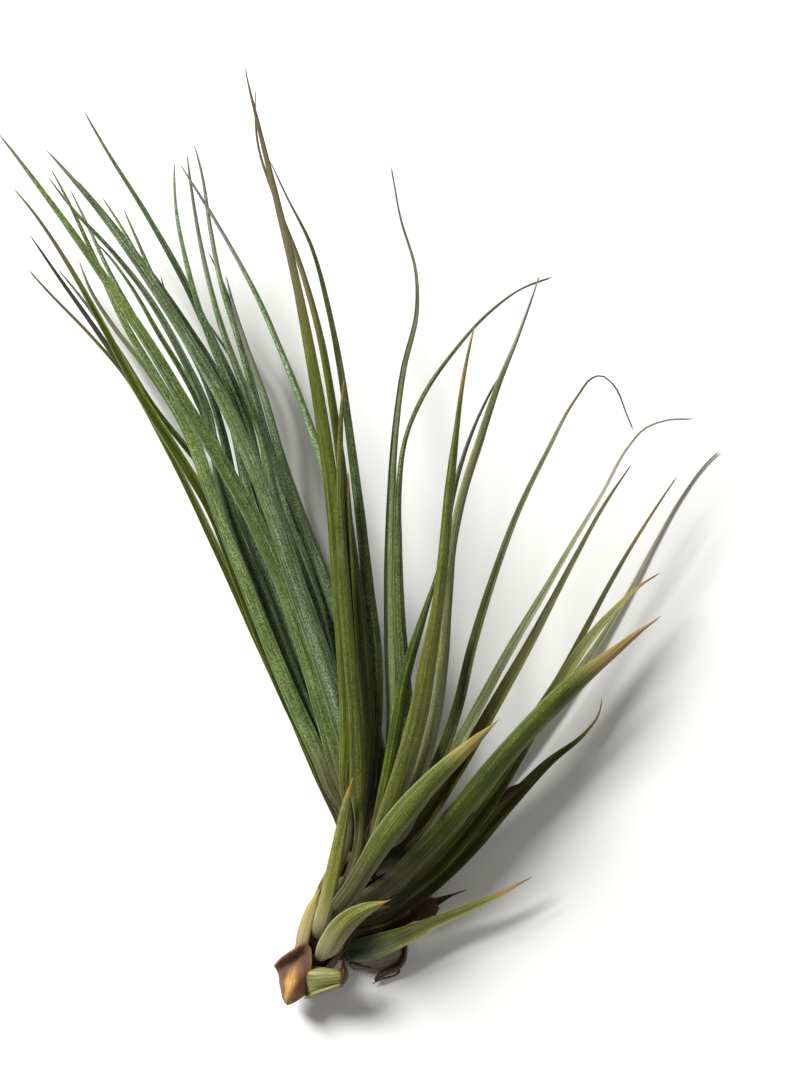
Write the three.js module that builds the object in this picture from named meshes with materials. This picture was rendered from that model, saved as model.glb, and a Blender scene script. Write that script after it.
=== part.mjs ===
// An air plant, Tillandsia seideliana, picked and lying on its side.
// A short stem carries long channelled leaves in a lopsided fan: a dense bundle to the left,
// a loose group upright and a spreading group to the right, with dried scales at the foot.
//
// Millimetres. +Z is up from the surface it lies on, +Y runs from the foot towards the leaf tips.
// The origin is the middle of the underside of the whole plant's box.

import * as THREE from 'three';

// Driving dimensions, in millimetres unless a name says otherwise.
const PLANT_LENGTH = 234;          // foot to the furthest tip, along Y
const SKETCH_LENGTH = 936;         // the same length in the units of the sketch below
const SCALE = PLANT_LENGTH / SKETCH_LENGTH;
const SKETCH_FOOT = [290, 1003];   // the foot in the sketch, which runs right and down

const BLADE_THICKNESS = 0.62;
const TIP_WIDTH = 0.72;
const TIP_POINT = 1.4;             // length of the pointed end past the last section
const ACROSS = 4;                  // points across each face of a blade
const MOST_SECTIONS = 17;          // sections along a long blade
const FEWEST_SECTIONS = 7;         // and along a very short one, with one more
const SECTION_EVERY = 16;          // for each of these lengths
const ROOT_WEIGHT = 3;             // how much closer the sections stand at the root
const ROOT_REACH = 0.25;           // and over what share of the blade
const SHEATH_REACH = 0.2;          // share of a blade that is its widened sheath
const SHEATH_FLARE = 0.68;         // width of a bundle leaf's hidden sheath to its blade
const WIDTH_POWER = 0.62;          // how the width grows from the tip to the sheath
const ARC_SHEATH = 28;             // half angle of the gutter at the sheath, degrees
const ARC_BLADE = 46;              // and in the blade
const ARC_TIP = 30;                // and at the tip
const BEND_WEIGHT = 26;            // millimetres of blade that one radian of bend counts as

const TIP_REACH = 0.25;            // share of a blade over which its gutter opens out to the tip
const ROOT_GAP = 0.45;             // from the stem's surface to the middle of a blade's wall

const CLEARANCE = 0.16;            // least height between one blade and the next
const CELL = 0.2;                  // pitch of the height maps that keep blades apart
const SAMPLE_STEP = 0.16;          // spacing of the points tested on a blade against those maps
const FLOOR_CLEARANCE = 0.35;      // height that blades keep above the surface, unless they rest on it

// Places in the sketch are [right, down], like a drawing of the plant seen from above.
function place([right, down]) {
  return [(right - SKETCH_FOOT[0]) * SCALE, (SKETCH_FOOT[1] - down) * SCALE];
}

const colours = {
  frosted: 0x7f9a74,
  olive: 0x74823f,
  dark: 0x4a5a2c,
  pale: 0x9ba37c,
  yellowed: 0x9a9a4e,
  dry: 0x7a4f31,
  blackened: 0x3a2a1e,
  stem: 0x6d6a4a,
};
const materials = {};
for (const [name, colour] of Object.entries(colours)) {
  materials[name] = new THREE.MeshStandardMaterial({ color: colour, roughness: 0.75, metalness: 0 });
}

// The stem climbs from the surface at the foot to the growing point inside the bundle.
// Each entry is [right, down] in the sketch, then height and radius in millimetres.
const stemCourse = [
  [[299, 988], 2.0, 2.9],
  [[303, 978], 2.9, 4.6],
  [[311, 957], 4.5, 5.4],
  [[322, 927], 7.7, 5.5],
  [[334, 890], 11.0, 5.3],
  [[345, 850], 13.4, 4.6],
  [[354, 812], 15.2, 3.2],
  [[361, 776], 16.4, 1.5],
];
const STEM_SIDES = 14;
const STEM_SECTIONS = 13;
const STEM_STEPS = 80;             // points at which its course is read

// The two outlines of the left bundle below its loose tips, as [down, left edge, right edge].
const bundleEdges = [
  [420, 150, 270],
  [500, 196, 297],
  [600, 240, 334],
  [700, 288, 356],
  [780, 327, 379],
  [850, 331, 383],
];

// A point of the bundle at a given depth down the sketch, by its share of the way across.
function bundlePoint(down, share) {
  let k = 0;
  while (k < bundleEdges.length - 2 && bundleEdges[k + 1][0] < down) k += 1;
  const [d0, l0, r0] = bundleEdges[k];
  const [d1, l1, r1] = bundleEdges[k + 1];
  const t = (down - d0) / (d1 - d0);
  const left = l0 + (l1 - l0) * t;
  const right = r0 + (r1 - r0) * t;
  return [left + (right - left) * share, down];
}

// A bundle leaf: its loose tip by hand, then its lane through the bundle, then its root.
function bundleCourse(tip, shareHigh, shareLow, root) {
  const last = tip[tip.length - 1][1];
  const course = [...tip];
  for (const down of [500, 600, 700, 770]) {
    if (down > last + 35) {
      course.push(bundlePoint(down, shareHigh + (shareLow - shareHigh) * (down - 500) / 270));
    }
  }
  course.push(root);
  return course;
}

// Leaves that lie over the stem, from the one next to it to the one nearest the eye.
// course runs from tip to root; a third number in a point is the width there, in sketch units.
// Where the course gives no widths, wide is the blade's width at its sheath. tip is the height of
// its tip, bow how far it arches up half way, and roll how far it leans about its own length at
// root and tip, in degrees. arc is the half angle of a scale's gutter, and a blunt one has no point.
const overLeaves = [
  { name: 'leaf_bundle_09', finish: 'dark', wide: 16, tip: 22, bow: 2, roll: [-12, -20],
    course: bundleCourse([[70, 187], [77, 202], [85, 218], [92, 233], [100, 250], [108, 268], [117, 286],
      [136, 320], [158, 356], [182, 402]], 0.2, 0.1, [331, 794])},
  { name: 'leaf_bundle_11', finish: 'frosted', wide: 16, tip: 25, bow: 1, roll: [-6, -24],
    course: bundleCourse([[102, 195], [112, 210], [124, 230], [133, 245], [141, 260], [150, 277],
      [166, 305], [188, 345], [212, 395]], 0.42, 0.36, [346, 800])},
  { name: 'leaf_bundle_17', finish: 'pale', wide: 16, tip: 28, bow: 0, roll: [2, -20],
    course: bundleCourse([[175, 160], [174, 180], [175, 200], [179, 225], [183, 245], [187, 265], [192, 285],
      [197, 302], [205, 325], [215, 350], [230, 388], [246, 428]], 0.7, 0.64, [361, 800])},
  { name: 'leaf_bundle_20', finish: 'pale', wide: 15, tip: 23, bow: 1, roll: [8, 20],
    course: bundleCourse([[193, 141], [198, 155], [203, 178], [207, 200], [209, 215], [212, 240], [216, 262],
      [222, 285], [230, 308], [238, 335], [247, 365], [256, 400], [266, 440]], 0.9, 0.92, [376, 792])},
  { name: 'leaf_bundle_08', finish: 'frosted', wide: 18, tip: 31, bow: 4, roll: [-14, -30],
    course: bundleCourse([[49, 176], [57, 187], [66, 199], [76, 212], [87, 225], [100, 238], [115, 253],
      [130, 270], [145, 291], [165, 325], [185, 361], [204, 400]], 0.28, 0.2, [335, 808])},
  { name: 'leaf_bundle_14', finish: 'frosted', wide: 16, tip: 33, bow: 1, roll: [-4, -18],
    course: bundleCourse([[124, 207], [130, 222], [138, 240], [146, 258], [153, 275], [161, 292],
      [180, 325], [204, 365], [228, 407]], 0.54, 0.48, [351, 812])},
  { name: 'leaf_bundle_19', finish: 'pale', wide: 16, tip: 37, bow: 0, roll: [6, 26],
    course: bundleCourse([[187, 152], [190, 175], [192, 192], [196, 212], [199, 231], [203, 251], [207, 271],
      [212, 290], [217, 310], [223, 328], [231, 350], [241, 377], [253, 407], [264, 440]],
    0.8, 0.76, [366, 810])},
  { name: 'leaf_bundle_24', finish: 'pale', wide: 14, tip: 42, bow: 2, roll: [10, 22],
    course: [[180, 163], [190, 178], [207, 206], [220, 227], [232, 247], [244, 268], [260, 300], [280, 346],
      [298, 391], [311, 425], [323, 460], [333, 500], [343, 560], [352, 620], [360, 680], [366, 740],
      [379, 780], [382, 802]] },
  { name: 'leaf_bundle_06', finish: 'olive', wide: 19, tip: 39, bow: 6, roll: [-16, -34],
    course: bundleCourse([[52, 169], [58, 178], [66, 195], [75, 213], [85, 235], [98, 264], [114, 301],
      [129, 331], [145, 358], [162, 386], [184, 424]], 0.16, 0.08, [331, 822])},
  { name: 'leaf_bundle_07', finish: 'olive', wide: 24, tip: 48, bow: 7, roll: [-8, -30],
    course: [[0, 133], [20, 159], [40, 187], [60, 214], [80, 241], [94, 261], [106, 279], [120, 300],
      [140, 329], [160, 361], [180, 395], [201, 430], [224, 466], [246, 504], [268, 549], [289, 597],
      [306, 645], [320, 692], [334, 740], [345, 785], [350, 820]] },
  { name: 'leaf_bundle_12', finish: 'frosted', wide: 24, tip: 43, bow: 4, roll: [0, -16],
    course: [[47, 149], [60, 163], [78, 184], [99, 210], [120, 236], [140, 264], [154, 287], [168, 309],
      [190, 341], [213, 380], [235, 424], [257, 472], [274, 515], [288, 557], [302, 600], [319, 648],
      [336, 697], [351, 745], [363, 785], [369, 818]] },
  { name: 'leaf_bundle_22', finish: 'frosted', wide: 20, tip: 32, bow: 3, roll: [10, 30],
    course: [[226, 274], [230, 290], [235, 309], [243, 335], [253, 360], [263, 388], [271, 418], [280, 449],
      [289, 478], [299, 506], [311, 537], [324, 570], [337, 605], [351, 648], [365, 694], [377, 742],
      [384, 784], [386, 812]] },
  { name: 'leaf_middle_02', finish: 'olive', tip: 41, bow: 3, roll: [-8, 22],
    course: [[256, 89, 2], [255, 118, 3], [257, 140, 4], [262, 160, 5], [270, 184, 5], [280, 209, 6],
      [288, 230, 7], [296, 252, 7], [305, 277, 8], [313, 302, 8], [320, 332, 9], [326, 367, 9],
      [333, 404, 10], [340, 450, 11], [346, 510, 12], [351, 580, 14], [354, 650, 15], [353, 720, 14],
      [349, 780, 12], [343, 825, 12], [334, 860, 12]] },
  { name: 'leaf_middle_03', finish: 'pale', tip: 36, bow: 4, roll: [2, 24],
    course: [[270, 160, 2], [279, 180, 3], [289, 200, 4], [301, 222, 5], [312, 245, 6], [322, 280, 7],
      [333, 325, 8], [341, 368, 9], [348, 418, 10], [354, 462, 11], [361, 518, 12], [366, 564, 13],
      [371, 612, 15], [376, 660, 16], [376, 720, 14], [370, 780, 12], [362, 822, 12], [349, 856, 12]] },
  { name: 'leaf_middle_06', finish: 'pale', tip: 42, bow: 9, roll: [10, 40],
    course: [[391, 166, 3], [395, 190, 3], [400, 218, 4], [407, 240, 4], [413, 260, 5], [418, 280, 6],
      [419, 298, 7], [414, 325, 7], [408, 350, 8], [402, 378, 9], [398, 410, 9], [394, 450, 10],
      [392, 490, 11], [391, 540, 13], [391, 600, 15], [393, 660, 17], [394, 720, 15], [389, 775, 13],
      [380, 822, 12], [364, 850, 12]] },
  { name: 'leaf_middle_07', finish: 'dark', tip: 44, bow: 18, roll: [16, 52],
    course: [[552, 276, 3], [540, 279, 3], [528, 284, 4], [515, 291, 4], [500, 302, 5], [485, 315, 6],
      [472, 329, 6], [459, 344, 6], [445, 362, 7], [432, 381, 7], [420, 401, 8], [410, 423, 8],
      [404, 445, 8], [400, 475, 9], [399, 510, 10], [399, 560, 12], [401, 620, 14], [406, 680, 15],
      [410, 730, 14], [407, 778, 13], [396, 820, 12], [378, 846, 12]] },
  { name: 'leaf_right_07', finish: 'olive', tip: 20, bow: 7, roll: [26, 34],
    course: [[661, 614, 2], [650, 622, 5], [636, 633, 7], [618, 648, 9], [600, 663, 11], [580, 680, 14],
      [557, 702, 17], [533, 726, 21], [508, 754, 25], [483, 784, 26], [456, 817, 26], [430, 846, 24],
      [404, 871, 22], [378, 892, 22], [353, 908, 22]] },
  { name: 'leaf_middle_10', finish: 'dark', tip: 31, bow: 8, roll: [20, 40],
    course: [[505, 366, 3], [495, 381, 4], [485, 400, 5], [475, 424, 6], [466, 448, 7], [458, 474, 8],
      [451, 503, 9], [447, 540, 11], [443, 590, 13], [438, 650, 15], [434, 705, 15], [428, 755, 13],
      [418, 800, 12], [401, 838, 12], [377, 862, 12]] },
  { name: 'leaf_middle_01', finish: 'olive', tip: 51, bow: 5, roll: [-12, -26],
    course: [[246, 67, 2], [249, 86, 4], [255, 111, 6], [262, 138, 7], [268, 161, 8], [273, 184, 9],
      [280, 214, 9], [289, 253, 10], [297, 285, 11], [303, 314, 12], [308, 343, 13], [313, 374, 14],
      [319, 408, 15], [325, 442, 16], [330, 480, 16], [334, 525, 17], [338, 580, 17], [343, 650, 17],
      [346, 720, 15], [345, 785, 13], [338, 836, 12], [328, 878, 12]] },
  { name: 'leaf_middle_05', finish: 'olive', tip: 36, bow: 1, roll: [4, 14],
    course: [[348, 470, 2], [350, 510, 6], [355, 560, 10], [361, 620, 14], [366, 680, 16], [368, 740, 15],
      [363, 795, 13], [354, 842, 12], [343, 878, 12]] },
  { name: 'leaf_middle_09', finish: 'olive', tip: 40, bow: 11, roll: [22, 40],
    course: [[539, 274, 2], [530, 300, 4], [522, 323, 6], [514, 346, 7], [507, 362, 8], [500, 379, 9],
      [491, 405, 10], [483, 431, 11], [475, 456, 12], [467, 481, 12], [460, 505, 12], [454, 533, 13],
      [449, 580, 14], [445, 640, 15], [438, 705, 17], [425, 760, 16], [406, 808, 14], [386, 848, 13],
      [366, 874, 12]] },
  { name: 'leaf_middle_11', finish: 'yellowed', tip: 33, bow: 1, roll: [14, 26],
    course: [[444, 545, 2], [436, 575, 6], [426, 608, 9], [415, 642, 12], [406, 674, 14], [400, 710, 15],
      [392, 755, 15], [382, 803, 14], [370, 846, 12], [355, 878, 12]] },
  { name: 'leaf_middle_04', finish: 'olive', tip: 46, bow: 5, roll: [-4, -6],
    course: [[345, 372, 2], [342, 400, 6], [340, 450, 8], [340, 500, 10], [342, 550, 12], [345, 600, 14],
      [349, 650, 14], [354, 700, 14], [357, 750, 15], [357, 800, 17], [354, 842, 18], [345, 880, 18],
      [331, 908, 14]] },
  { name: 'leaf_middle_08', finish: 'olive', tip: 58, bow: 7, roll: [14, 6],
    course: [[474, 325, 3], [469, 345, 3], [465, 366, 4], [461, 388, 4], [458, 412, 4], [455, 440, 5],
      [451, 472, 6], [448, 502, 7], [445, 532, 8], [443, 562, 10], [438, 602, 13], [430, 648, 18],
      [423, 692, 20], [414, 734, 21], [403, 770, 21], [391, 805, 20], [378, 840, 19], [366, 872, 16],
      [352, 902, 13]] },
  { name: 'basal_scale', finish: 'dry', tip: 13.5, bow: 2.6, roll: [-12, -16], blunt: true,
    arc: 48,
    course: [[305, 942, 11], [301, 950, 24], [296, 960, 35], [293, 972, 36], [292, 985, 29], [290, 996, 17],
      [289, 1004, 7]] },
  { name: 'cut_leaf_stub', finish: 'pale', tip: 9.5, bow: 0, roll: [8, 4], blunt: true,
    arc: 50,
    course: [[346, 976, 17], [336, 978, 21], [324, 980, 22], [311, 982, 20]] },
  { name: 'bract_left', finish: 'yellowed', tip: 14, bow: 1, roll: [-30, -26],
    course: [[324, 881, 2], [317, 893, 8], [310, 908, 13], [304, 925, 16], [300, 945, 16], [300, 962, 15]] },
  { name: 'bract_upright', finish: 'yellowed', tip: 31, bow: 0, roll: [-18, -8],
    course: [[354, 773, 2], [351, 783, 7], [347, 797, 10], [343, 817, 12], [339, 838, 14], [334, 862, 16],
      [328, 890, 17], [321, 918, 18], [313, 942, 18]] },
  { name: 'leaf_right_09', finish: 'yellowed', tip: 38, bow: 1, roll: [18, 20],
    course: [[499, 716, 2], [491, 724, 7], [480, 734, 10], [466, 747, 15], [449, 763, 19], [428, 785, 23],
      [406, 810, 26], [386, 836, 26], [366, 865, 25], [350, 890, 24], [335, 914, 22], [325, 930, 20]] },
  { name: 'bract_lower', finish: 'yellowed', tip: 26, bow: 1, roll: [12, 14],
    course: [[391, 897, 2], [381, 901, 9], [369, 906, 14], [355, 914, 20], [342, 926, 24], [332, 941, 25],
      [325, 954, 22], [321, 966, 17]] },
];

// Leaves that pass under the stem or start low on its right side, from the stem to the surface.
const underLeaves = [
  { name: 'leaf_bundle_05', finish: 'olive', wide: 18, tip: 20, bow: -1, roll: [-10, -26],
    course: bundleCourse([[79, 258], [86, 279], [97, 302], [110, 321], [123, 337], [135, 352], [149, 371],
      [166, 397], [187, 432]], 0.18, 0.1, [331, 800])},
  { name: 'leaf_bundle_10', finish: 'olive', wide: 16, tip: 21, bow: -2, roll: [-4, -24],
    course: bundleCourse([[95, 240], [106, 250], [117, 263], [130, 284], [141, 302], [160, 335], [181, 370],
      [204, 412]], 0.38, 0.38, [346, 806])},
  { name: 'leaf_bundle_16', finish: 'pale', wide: 17, tip: 27, bow: -2, roll: [4, 14],
    course: bundleCourse([[84, 109], [92, 124], [101, 140], [114, 160], [127, 180], [140, 201], [152, 222],
      [165, 245], [178, 268], [190, 289], [200, 310], [211, 335], [222, 360], [237, 394], [252, 430]],
    0.66, 0.66, [361, 806])},
  { name: 'leaf_bundle_21', finish: 'dark', wide: 13, tip: 22, bow: -2, roll: [12, 18],
    course: bundleCourse([[208, 250], [213, 260], [219, 272], [226, 288], [233, 308], [240, 333], [248, 362],
      [258, 400]], 0.9, 0.92, [376, 796])},
  { name: 'leaf_right_01', finish: 'dark', wide: 15, tip: 34, bow: 13, roll: [14, 30],
    course: [[633, 429, 2], [628, 417, 2], [621, 401, 2], [615, 388, 2], [609, 377, 3], [601, 370, 3],
      [594, 372, 3], [586, 381, 4], [578, 393, 4], [568, 409, 5], [559, 426, 6], [550, 444, 7],
      [540, 464, 7], [522, 500, 8], [506, 542, 9], [492, 580, 10], [482, 613, 11], [472, 646, 12],
      [461, 694, 13], [449, 735, 14], [430, 780, 15], [404, 824, 16], [370, 858, 17]] },
  { name: 'leaf_right_03', finish: 'olive', tip: 24, bow: 8, roll: [16, 30],
    course: [[631, 463, 2], [611, 492, 5], [591, 526, 7], [571, 564, 8], [550, 604, 10], [530, 642, 12],
      [510, 678, 14], [490, 712, 15], [469, 750, 16], [444, 791, 16], [410, 840, 17], [372, 884, 18]] },
  { name: 'leaf_right_06', finish: 'yellowed', tip: 18, bow: 3, roll: [18, 28],
    course: [[660, 571, 2], [641, 583, 5], [621, 602, 7], [599, 626, 9], [580, 651, 11], [561, 681, 13],
      [541, 711, 14], [512, 748, 15], [476, 796, 16], [436, 846, 17], [398, 886, 18], [366, 908, 18]] },
  { name: 'leaf_right_12', finish: 'dark', tip: 13, bow: 1, roll: [20, 28],
    course: [[545, 716, 2], [534, 734, 7], [519, 759, 11], [501, 787, 14], [480, 817, 17], [455, 848, 18],
      [427, 876, 18], [396, 900, 16], [359, 918, 15]] },
  { name: 'leaf_bundle_03', finish: 'olive', wide: 19, tip: 15, bow: -1, roll: [-14, -30],
    course: bundleCourse([[13, 186], [27, 202], [41, 222], [55, 244], [69, 265], [82, 287], [96, 312],
      [109, 338], [122, 362], [136, 387], [155, 420]], 0.1, 0.02, [325, 850])},
  { name: 'leaf_bundle_13', finish: 'frosted', wide: 15, tip: 18, bow: -2, roll: [-4, -20],
    course: bundleCourse([[77, 178], [86, 189], [101, 207], [125, 237], [150, 270], [175, 306], [198, 341],
      [221, 381]], 0.52, 0.34, [340, 852])},
  { name: 'leaf_bundle_15', finish: 'frosted', wide: 14, tip: 17, bow: -2, roll: [4, 12],
    course: bundleCourse([[160, 273], [164, 288], [171, 306], [188, 335], [212, 373], [235, 415]],
      0.6, 0.66, [355, 848])},
  { name: 'leaf_bundle_23', finish: 'dark', wide: 15, tip: 16, bow: -1, roll: [14, 24],
    course: bundleCourse([[238, 330], [246, 350], [256, 373], [265, 398], [273, 428]],
    0.95, 0.98, [369, 836])},
  { name: 'leaf_right_02', finish: 'frosted', wide: 14, tip: 26, bow: 10, roll: [16, 34],
    course: [[693, 417, 2], [676, 416, 2], [660, 420, 3], [648, 424, 3], [638, 430, 4], [630, 442, 4],
      [612, 473, 5], [600, 496, 6], [580, 529, 7], [560, 563, 8], [540, 598, 10], [520, 632, 11],
      [500, 665, 12], [483, 698, 13], [463, 735, 14], [438, 780, 15], [408, 828, 16], [370, 868, 17]] },
  { name: 'leaf_right_04', finish: 'olive', tip: 14, bow: 4, roll: [18, 28],
    course: [[677, 475, 2], [655, 507, 4], [635, 540, 6], [616, 572, 7], [599, 603, 8], [582, 636, 9],
      [564, 671, 11], [543, 707, 13], [518, 743, 15], [485, 786, 16], [446, 832, 16], [408, 872, 17],
      [372, 898, 18]] },
  { name: 'dry_leaf_right', finish: 'blackened', tip: 8, bow: 0.5, roll: [16, 20],
    course: [[531, 778, 2], [519, 785, 9], [504, 795, 14], [486, 809, 14], [464, 829, 14], [438, 858, 15],
      [412, 882, 15], [384, 906, 14], [355, 926, 14]] },
  { name: 'leaf_bundle_02', finish: 'dark', wide: 17, tip: 10, bow: -1, roll: [-14, -24],
    course: bundleCourse([[29, 232], [45, 256], [60, 278], [76, 301], [94, 326], [105, 342], [117, 358],
      [138, 392], [160, 430]], 0.12, 0.16, [321, 880])},
  { name: 'leaf_bundle_04', finish: 'pale', wide: 14, tip: 9, bow: -1, roll: [-6, -16],
    course: bundleCourse([[57, 266], [66, 278], [76, 290], [86, 302], [98, 318], [116, 345], [141, 385],
      [166, 424]], 0.34, 0.46, [336, 888])},
  { name: 'leaf_bundle_18', finish: 'dark', wide: 13, tip: 11, bow: -1, roll: [2, 8],
    course: bundleCourse([[196, 304], [203, 315], [212, 327], [221, 340], [231, 355], [244, 380], [257, 415]],
      0.76, 0.8, [350, 880])},
  { name: 'leaf_right_05', finish: 'frosted', wide: 15, tip: 4, bow: -2, roll: [20, 26], rests: true,
    course: [[720, 449, 2], [710, 458, 3], [699, 471, 3], [680, 499, 4], [661, 533, 5], [644, 563, 6],
      [629, 593, 7], [612, 623, 8], [592, 653, 10], [571, 684, 12], [544, 721, 14], [506, 768, 15],
      [462, 822, 16], [420, 866, 16], [382, 896, 15], [361, 908, 15]] },
  { name: 'leaf_right_08', finish: 'yellowed', tip: 6, bow: 0, roll: [20, 20],
    course: [[602, 697, 2], [601, 708, 3], [597, 718, 4], [590, 728, 5], [571, 743, 8], [550, 761, 11],
      [529, 782, 14], [508, 805, 16], [486, 830, 17], [462, 858, 18], [438, 880, 18], [412, 900, 18],
      [384, 918, 17], [352, 932, 16]] },
  { name: 'leaf_right_10', finish: 'yellowed', tip: 9, bow: 1.5, roll: [16, 12],
    course: [[532, 876, 2], [522, 881, 5], [505, 891, 7], [487, 899, 9], [466, 909, 11], [444, 918, 13],
      [422, 928, 16], [400, 938, 21], [377, 947, 26], [356, 953, 26], [338, 958, 22]] },
  { name: 'dry_sliver', finish: 'blackened', tip: 6, bow: 0, roll: [10, 10],
    course: [[467, 889, 2], [458, 892, 4], [446, 897, 8], [432, 904, 11], [412, 916, 12], [390, 928, 13],
      [366, 940, 13], [344, 950, 13]] },
  { name: 'leaf_bundle_01', finish: 'olive', wide: 11, tip: 3, bow: -2.5, roll: [-16, -20], rests: true,
    course: [[27, 267], [40, 282], [56, 299], [75, 319], [95, 339], [113, 358], [127, 378], [149, 416],
      [175, 464], [203, 524], [226, 572], [246, 615], [268, 661], [290, 706], [310, 750], [323, 792],
      [325, 835], [320, 862]] },
  { name: 'dry_sheath', finish: 'dry', tip: 4, bow: 0, roll: [10, 10], blunt: true,
    course: [[438, 907, 14], [424, 914, 19], [406, 922, 21], [384, 931, 21], [362, 941, 20],
      [346, 950, 19]] },
];

// Small dried remains about the foot, made like short broad blades.
const remains = [
  { name: 'dry_scale_back_1', finish: 'dry', tip: 3.2, bow: 0, roll: [-8, -12],
    arc: 40,
    course: [[352, 800, 3], [347, 813, 12], [341, 828, 20], [336, 845, 25], [332, 864, 26],
      [329, 882, 20]] },
  { name: 'dry_scale_back_2', finish: 'dry', tip: 2.4, bow: 0, roll: [4, 6],
    arc: 40,
    course: [[364, 840, 3], [358, 854, 12], [351, 869, 20], [344, 884, 24], [338, 900, 25],
      [332, 916, 19]] },
  { name: 'dry_membrane', finish: 'dry', tip: 1.8, bow: 0, roll: [4, 0], blunt: true,
    course: [[406, 955, 13], [396, 958, 19], [380, 962, 20], [362, 965, 19], [346, 968, 17]] },
];

// The short wiry root that curls out from under the foot, as [right, down], then height.
const rootCourse = [
  [[330, 966], 1.0],
  [[347, 977], 0.75],
  [[364, 982], 0.75],
  [[382, 979], 0.75],
  [[394, 975], 0.75],
  [[403, 968], 1.0],
];
const ROOT_RADIUS = 0.75;
const ROOT_SIDES = 7;
const ROOT_SECTIONS = 12;

// A smooth line in the sketch plane through hand-set points, in even steps, root first.
const LINE_STEPS = 220;
const LINE_DIVISIONS = 600;
const LINE_SMOOTHING = 3;          // passes, and steps to each side that a pass averages
function smoothLine(course) {
  const points = course.map((p) => {
    const [x, y] = place(p);
    return new THREE.Vector3(x, y, 0);
  }).reverse();
  const curve = new THREE.CatmullRomCurve3(points, false, 'centripetal');
  curve.arcLengthDivisions = LINE_DIVISIONS;
  let line = curve.getSpacedPoints(LINE_STEPS);
  for (let pass = 0; pass < LINE_SMOOTHING; pass += 1) {
    line = line.map((p, i) => {
      const reach = Math.min(LINE_SMOOTHING, i, line.length - 1 - i);
      const mean = new THREE.Vector3();
      for (let k = -reach; k <= reach; k += 1) mean.add(line[i + k]);
      return mean.divideScalar(2 * reach + 1);
    });
  }
  return line;
}

// The width at each step of a line: by hand where the points give it, or else by the taper.
const MARK_REACH = 60;             // steps within which the next hand-set point is looked for
function widthsAlong(leaf, line) {
  const given = leaf.course.every((p) => p.length === 3);
  const total = line.length - 1;
  if (!given) {
    return line.map((p, i) => {
      const fromTip = 1 - i / total;
      const taper = TIP_WIDTH + (leaf.wide * SCALE - TIP_WIDTH) * fromTip ** WIDTH_POWER;
      const sheath = Math.max(0, 1 - (i / total) / SHEATH_REACH);
      return taper * (1 + (SHEATH_FLARE - 1) * sheath * sheath);
    });
  }
  const marks = leaf.course.map((p) => {
    const [x, y] = place(p);
    return { x, y, width: Math.max(TIP_WIDTH, p[2] * SCALE) };
  }).reverse();
  let at = 0;
  const stations = marks.map((mark) => {
    let best = at;
    for (let i = at; i < line.length; i += 1) {
      const near = Math.hypot(line[i].x - mark.x, line[i].y - mark.y);
      if (near < Math.hypot(line[best].x - mark.x, line[best].y - mark.y)) best = i;
      if (i > at + MARK_REACH) break;
    }
    at = best;
    return best;
  });
  stations[stations.length - 1] = total;
  return line.map((p, i) => {
    let k = 0;
    while (k < stations.length - 2 && stations[k + 1] < i) k += 1;
    const span = Math.max(1, stations[k + 1] - stations[k]);
    const t = Math.min(1, Math.max(0, (i - stations[k]) / span));
    return marks[k].width + (marks[k + 1].width - marks[k].width) * t;
  });
}

// Which steps of a line carry a section: close together where the blade bends and at its sheath.
function sectionSteps(line, count) {
  const cost = [0];
  for (let i = 1; i < line.length; i += 1) {
    const before = line[Math.max(0, i - 2)];
    const here = line[i];
    const after = line[Math.min(line.length - 1, i + 2)];
    const a = Math.atan2(here.y - before.y, here.x - before.x);
    const b = Math.atan2(after.y - here.y, after.x - here.x);
    let turn = Math.abs(b - a);
    if (turn > Math.PI) turn = 2 * Math.PI - turn;
    const step = here.distanceTo(line[i - 1]);
    const nearRoot = 1 + ROOT_WEIGHT * Math.max(0, 1 - (i / line.length) / ROOT_REACH);
    cost.push(cost[i - 1] + step * nearRoot + BEND_WEIGHT * turn / 2);
  }
  const total = cost[cost.length - 1];
  const steps = [0];
  for (let k = 1; k < count - 1; k += 1) {
    const want = total * k / (count - 1);
    let i = steps[k - 1] + 1;
    while (i < line.length - count + k && cost[i] < want) i += 1;
    steps.push(i);
  }
  steps.push(line.length - 1);
  return steps;
}

// Height of the stem's axis and its radius where it passes nearest a place in the sketch plane.
const stemPath = new THREE.CatmullRomCurve3(stemCourse.map(([p, height]) => {
  const [x, y] = place(p);
  return new THREE.Vector3(x, y, height);
}), false, 'centripetal');
const stemPoints = stemPath.getSpacedPoints(STEM_STEPS);
function stemRadius(t) {
  const s = t * (stemCourse.length - 1);
  const k = Math.min(stemCourse.length - 2, Math.floor(s));
  return stemCourse[k][2] + (stemCourse[k + 1][2] - stemCourse[k][2]) * (s - k);
}
function stemNear(x, y) {
  let best = 0;
  stemPoints.forEach((p, i) => {
    const d = Math.hypot(p.x - x, p.y - y);
    if (d < Math.hypot(stemPoints[best].x - x, stemPoints[best].y - y)) best = i;
  });
  const p = stemPoints[best];
  return { height: p.z, radius: stemRadius(best / STEM_STEPS), away: Math.hypot(p.x - x, p.y - y) };
}

function degrees(angle) {
  return angle * Math.PI / 180;
}

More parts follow.
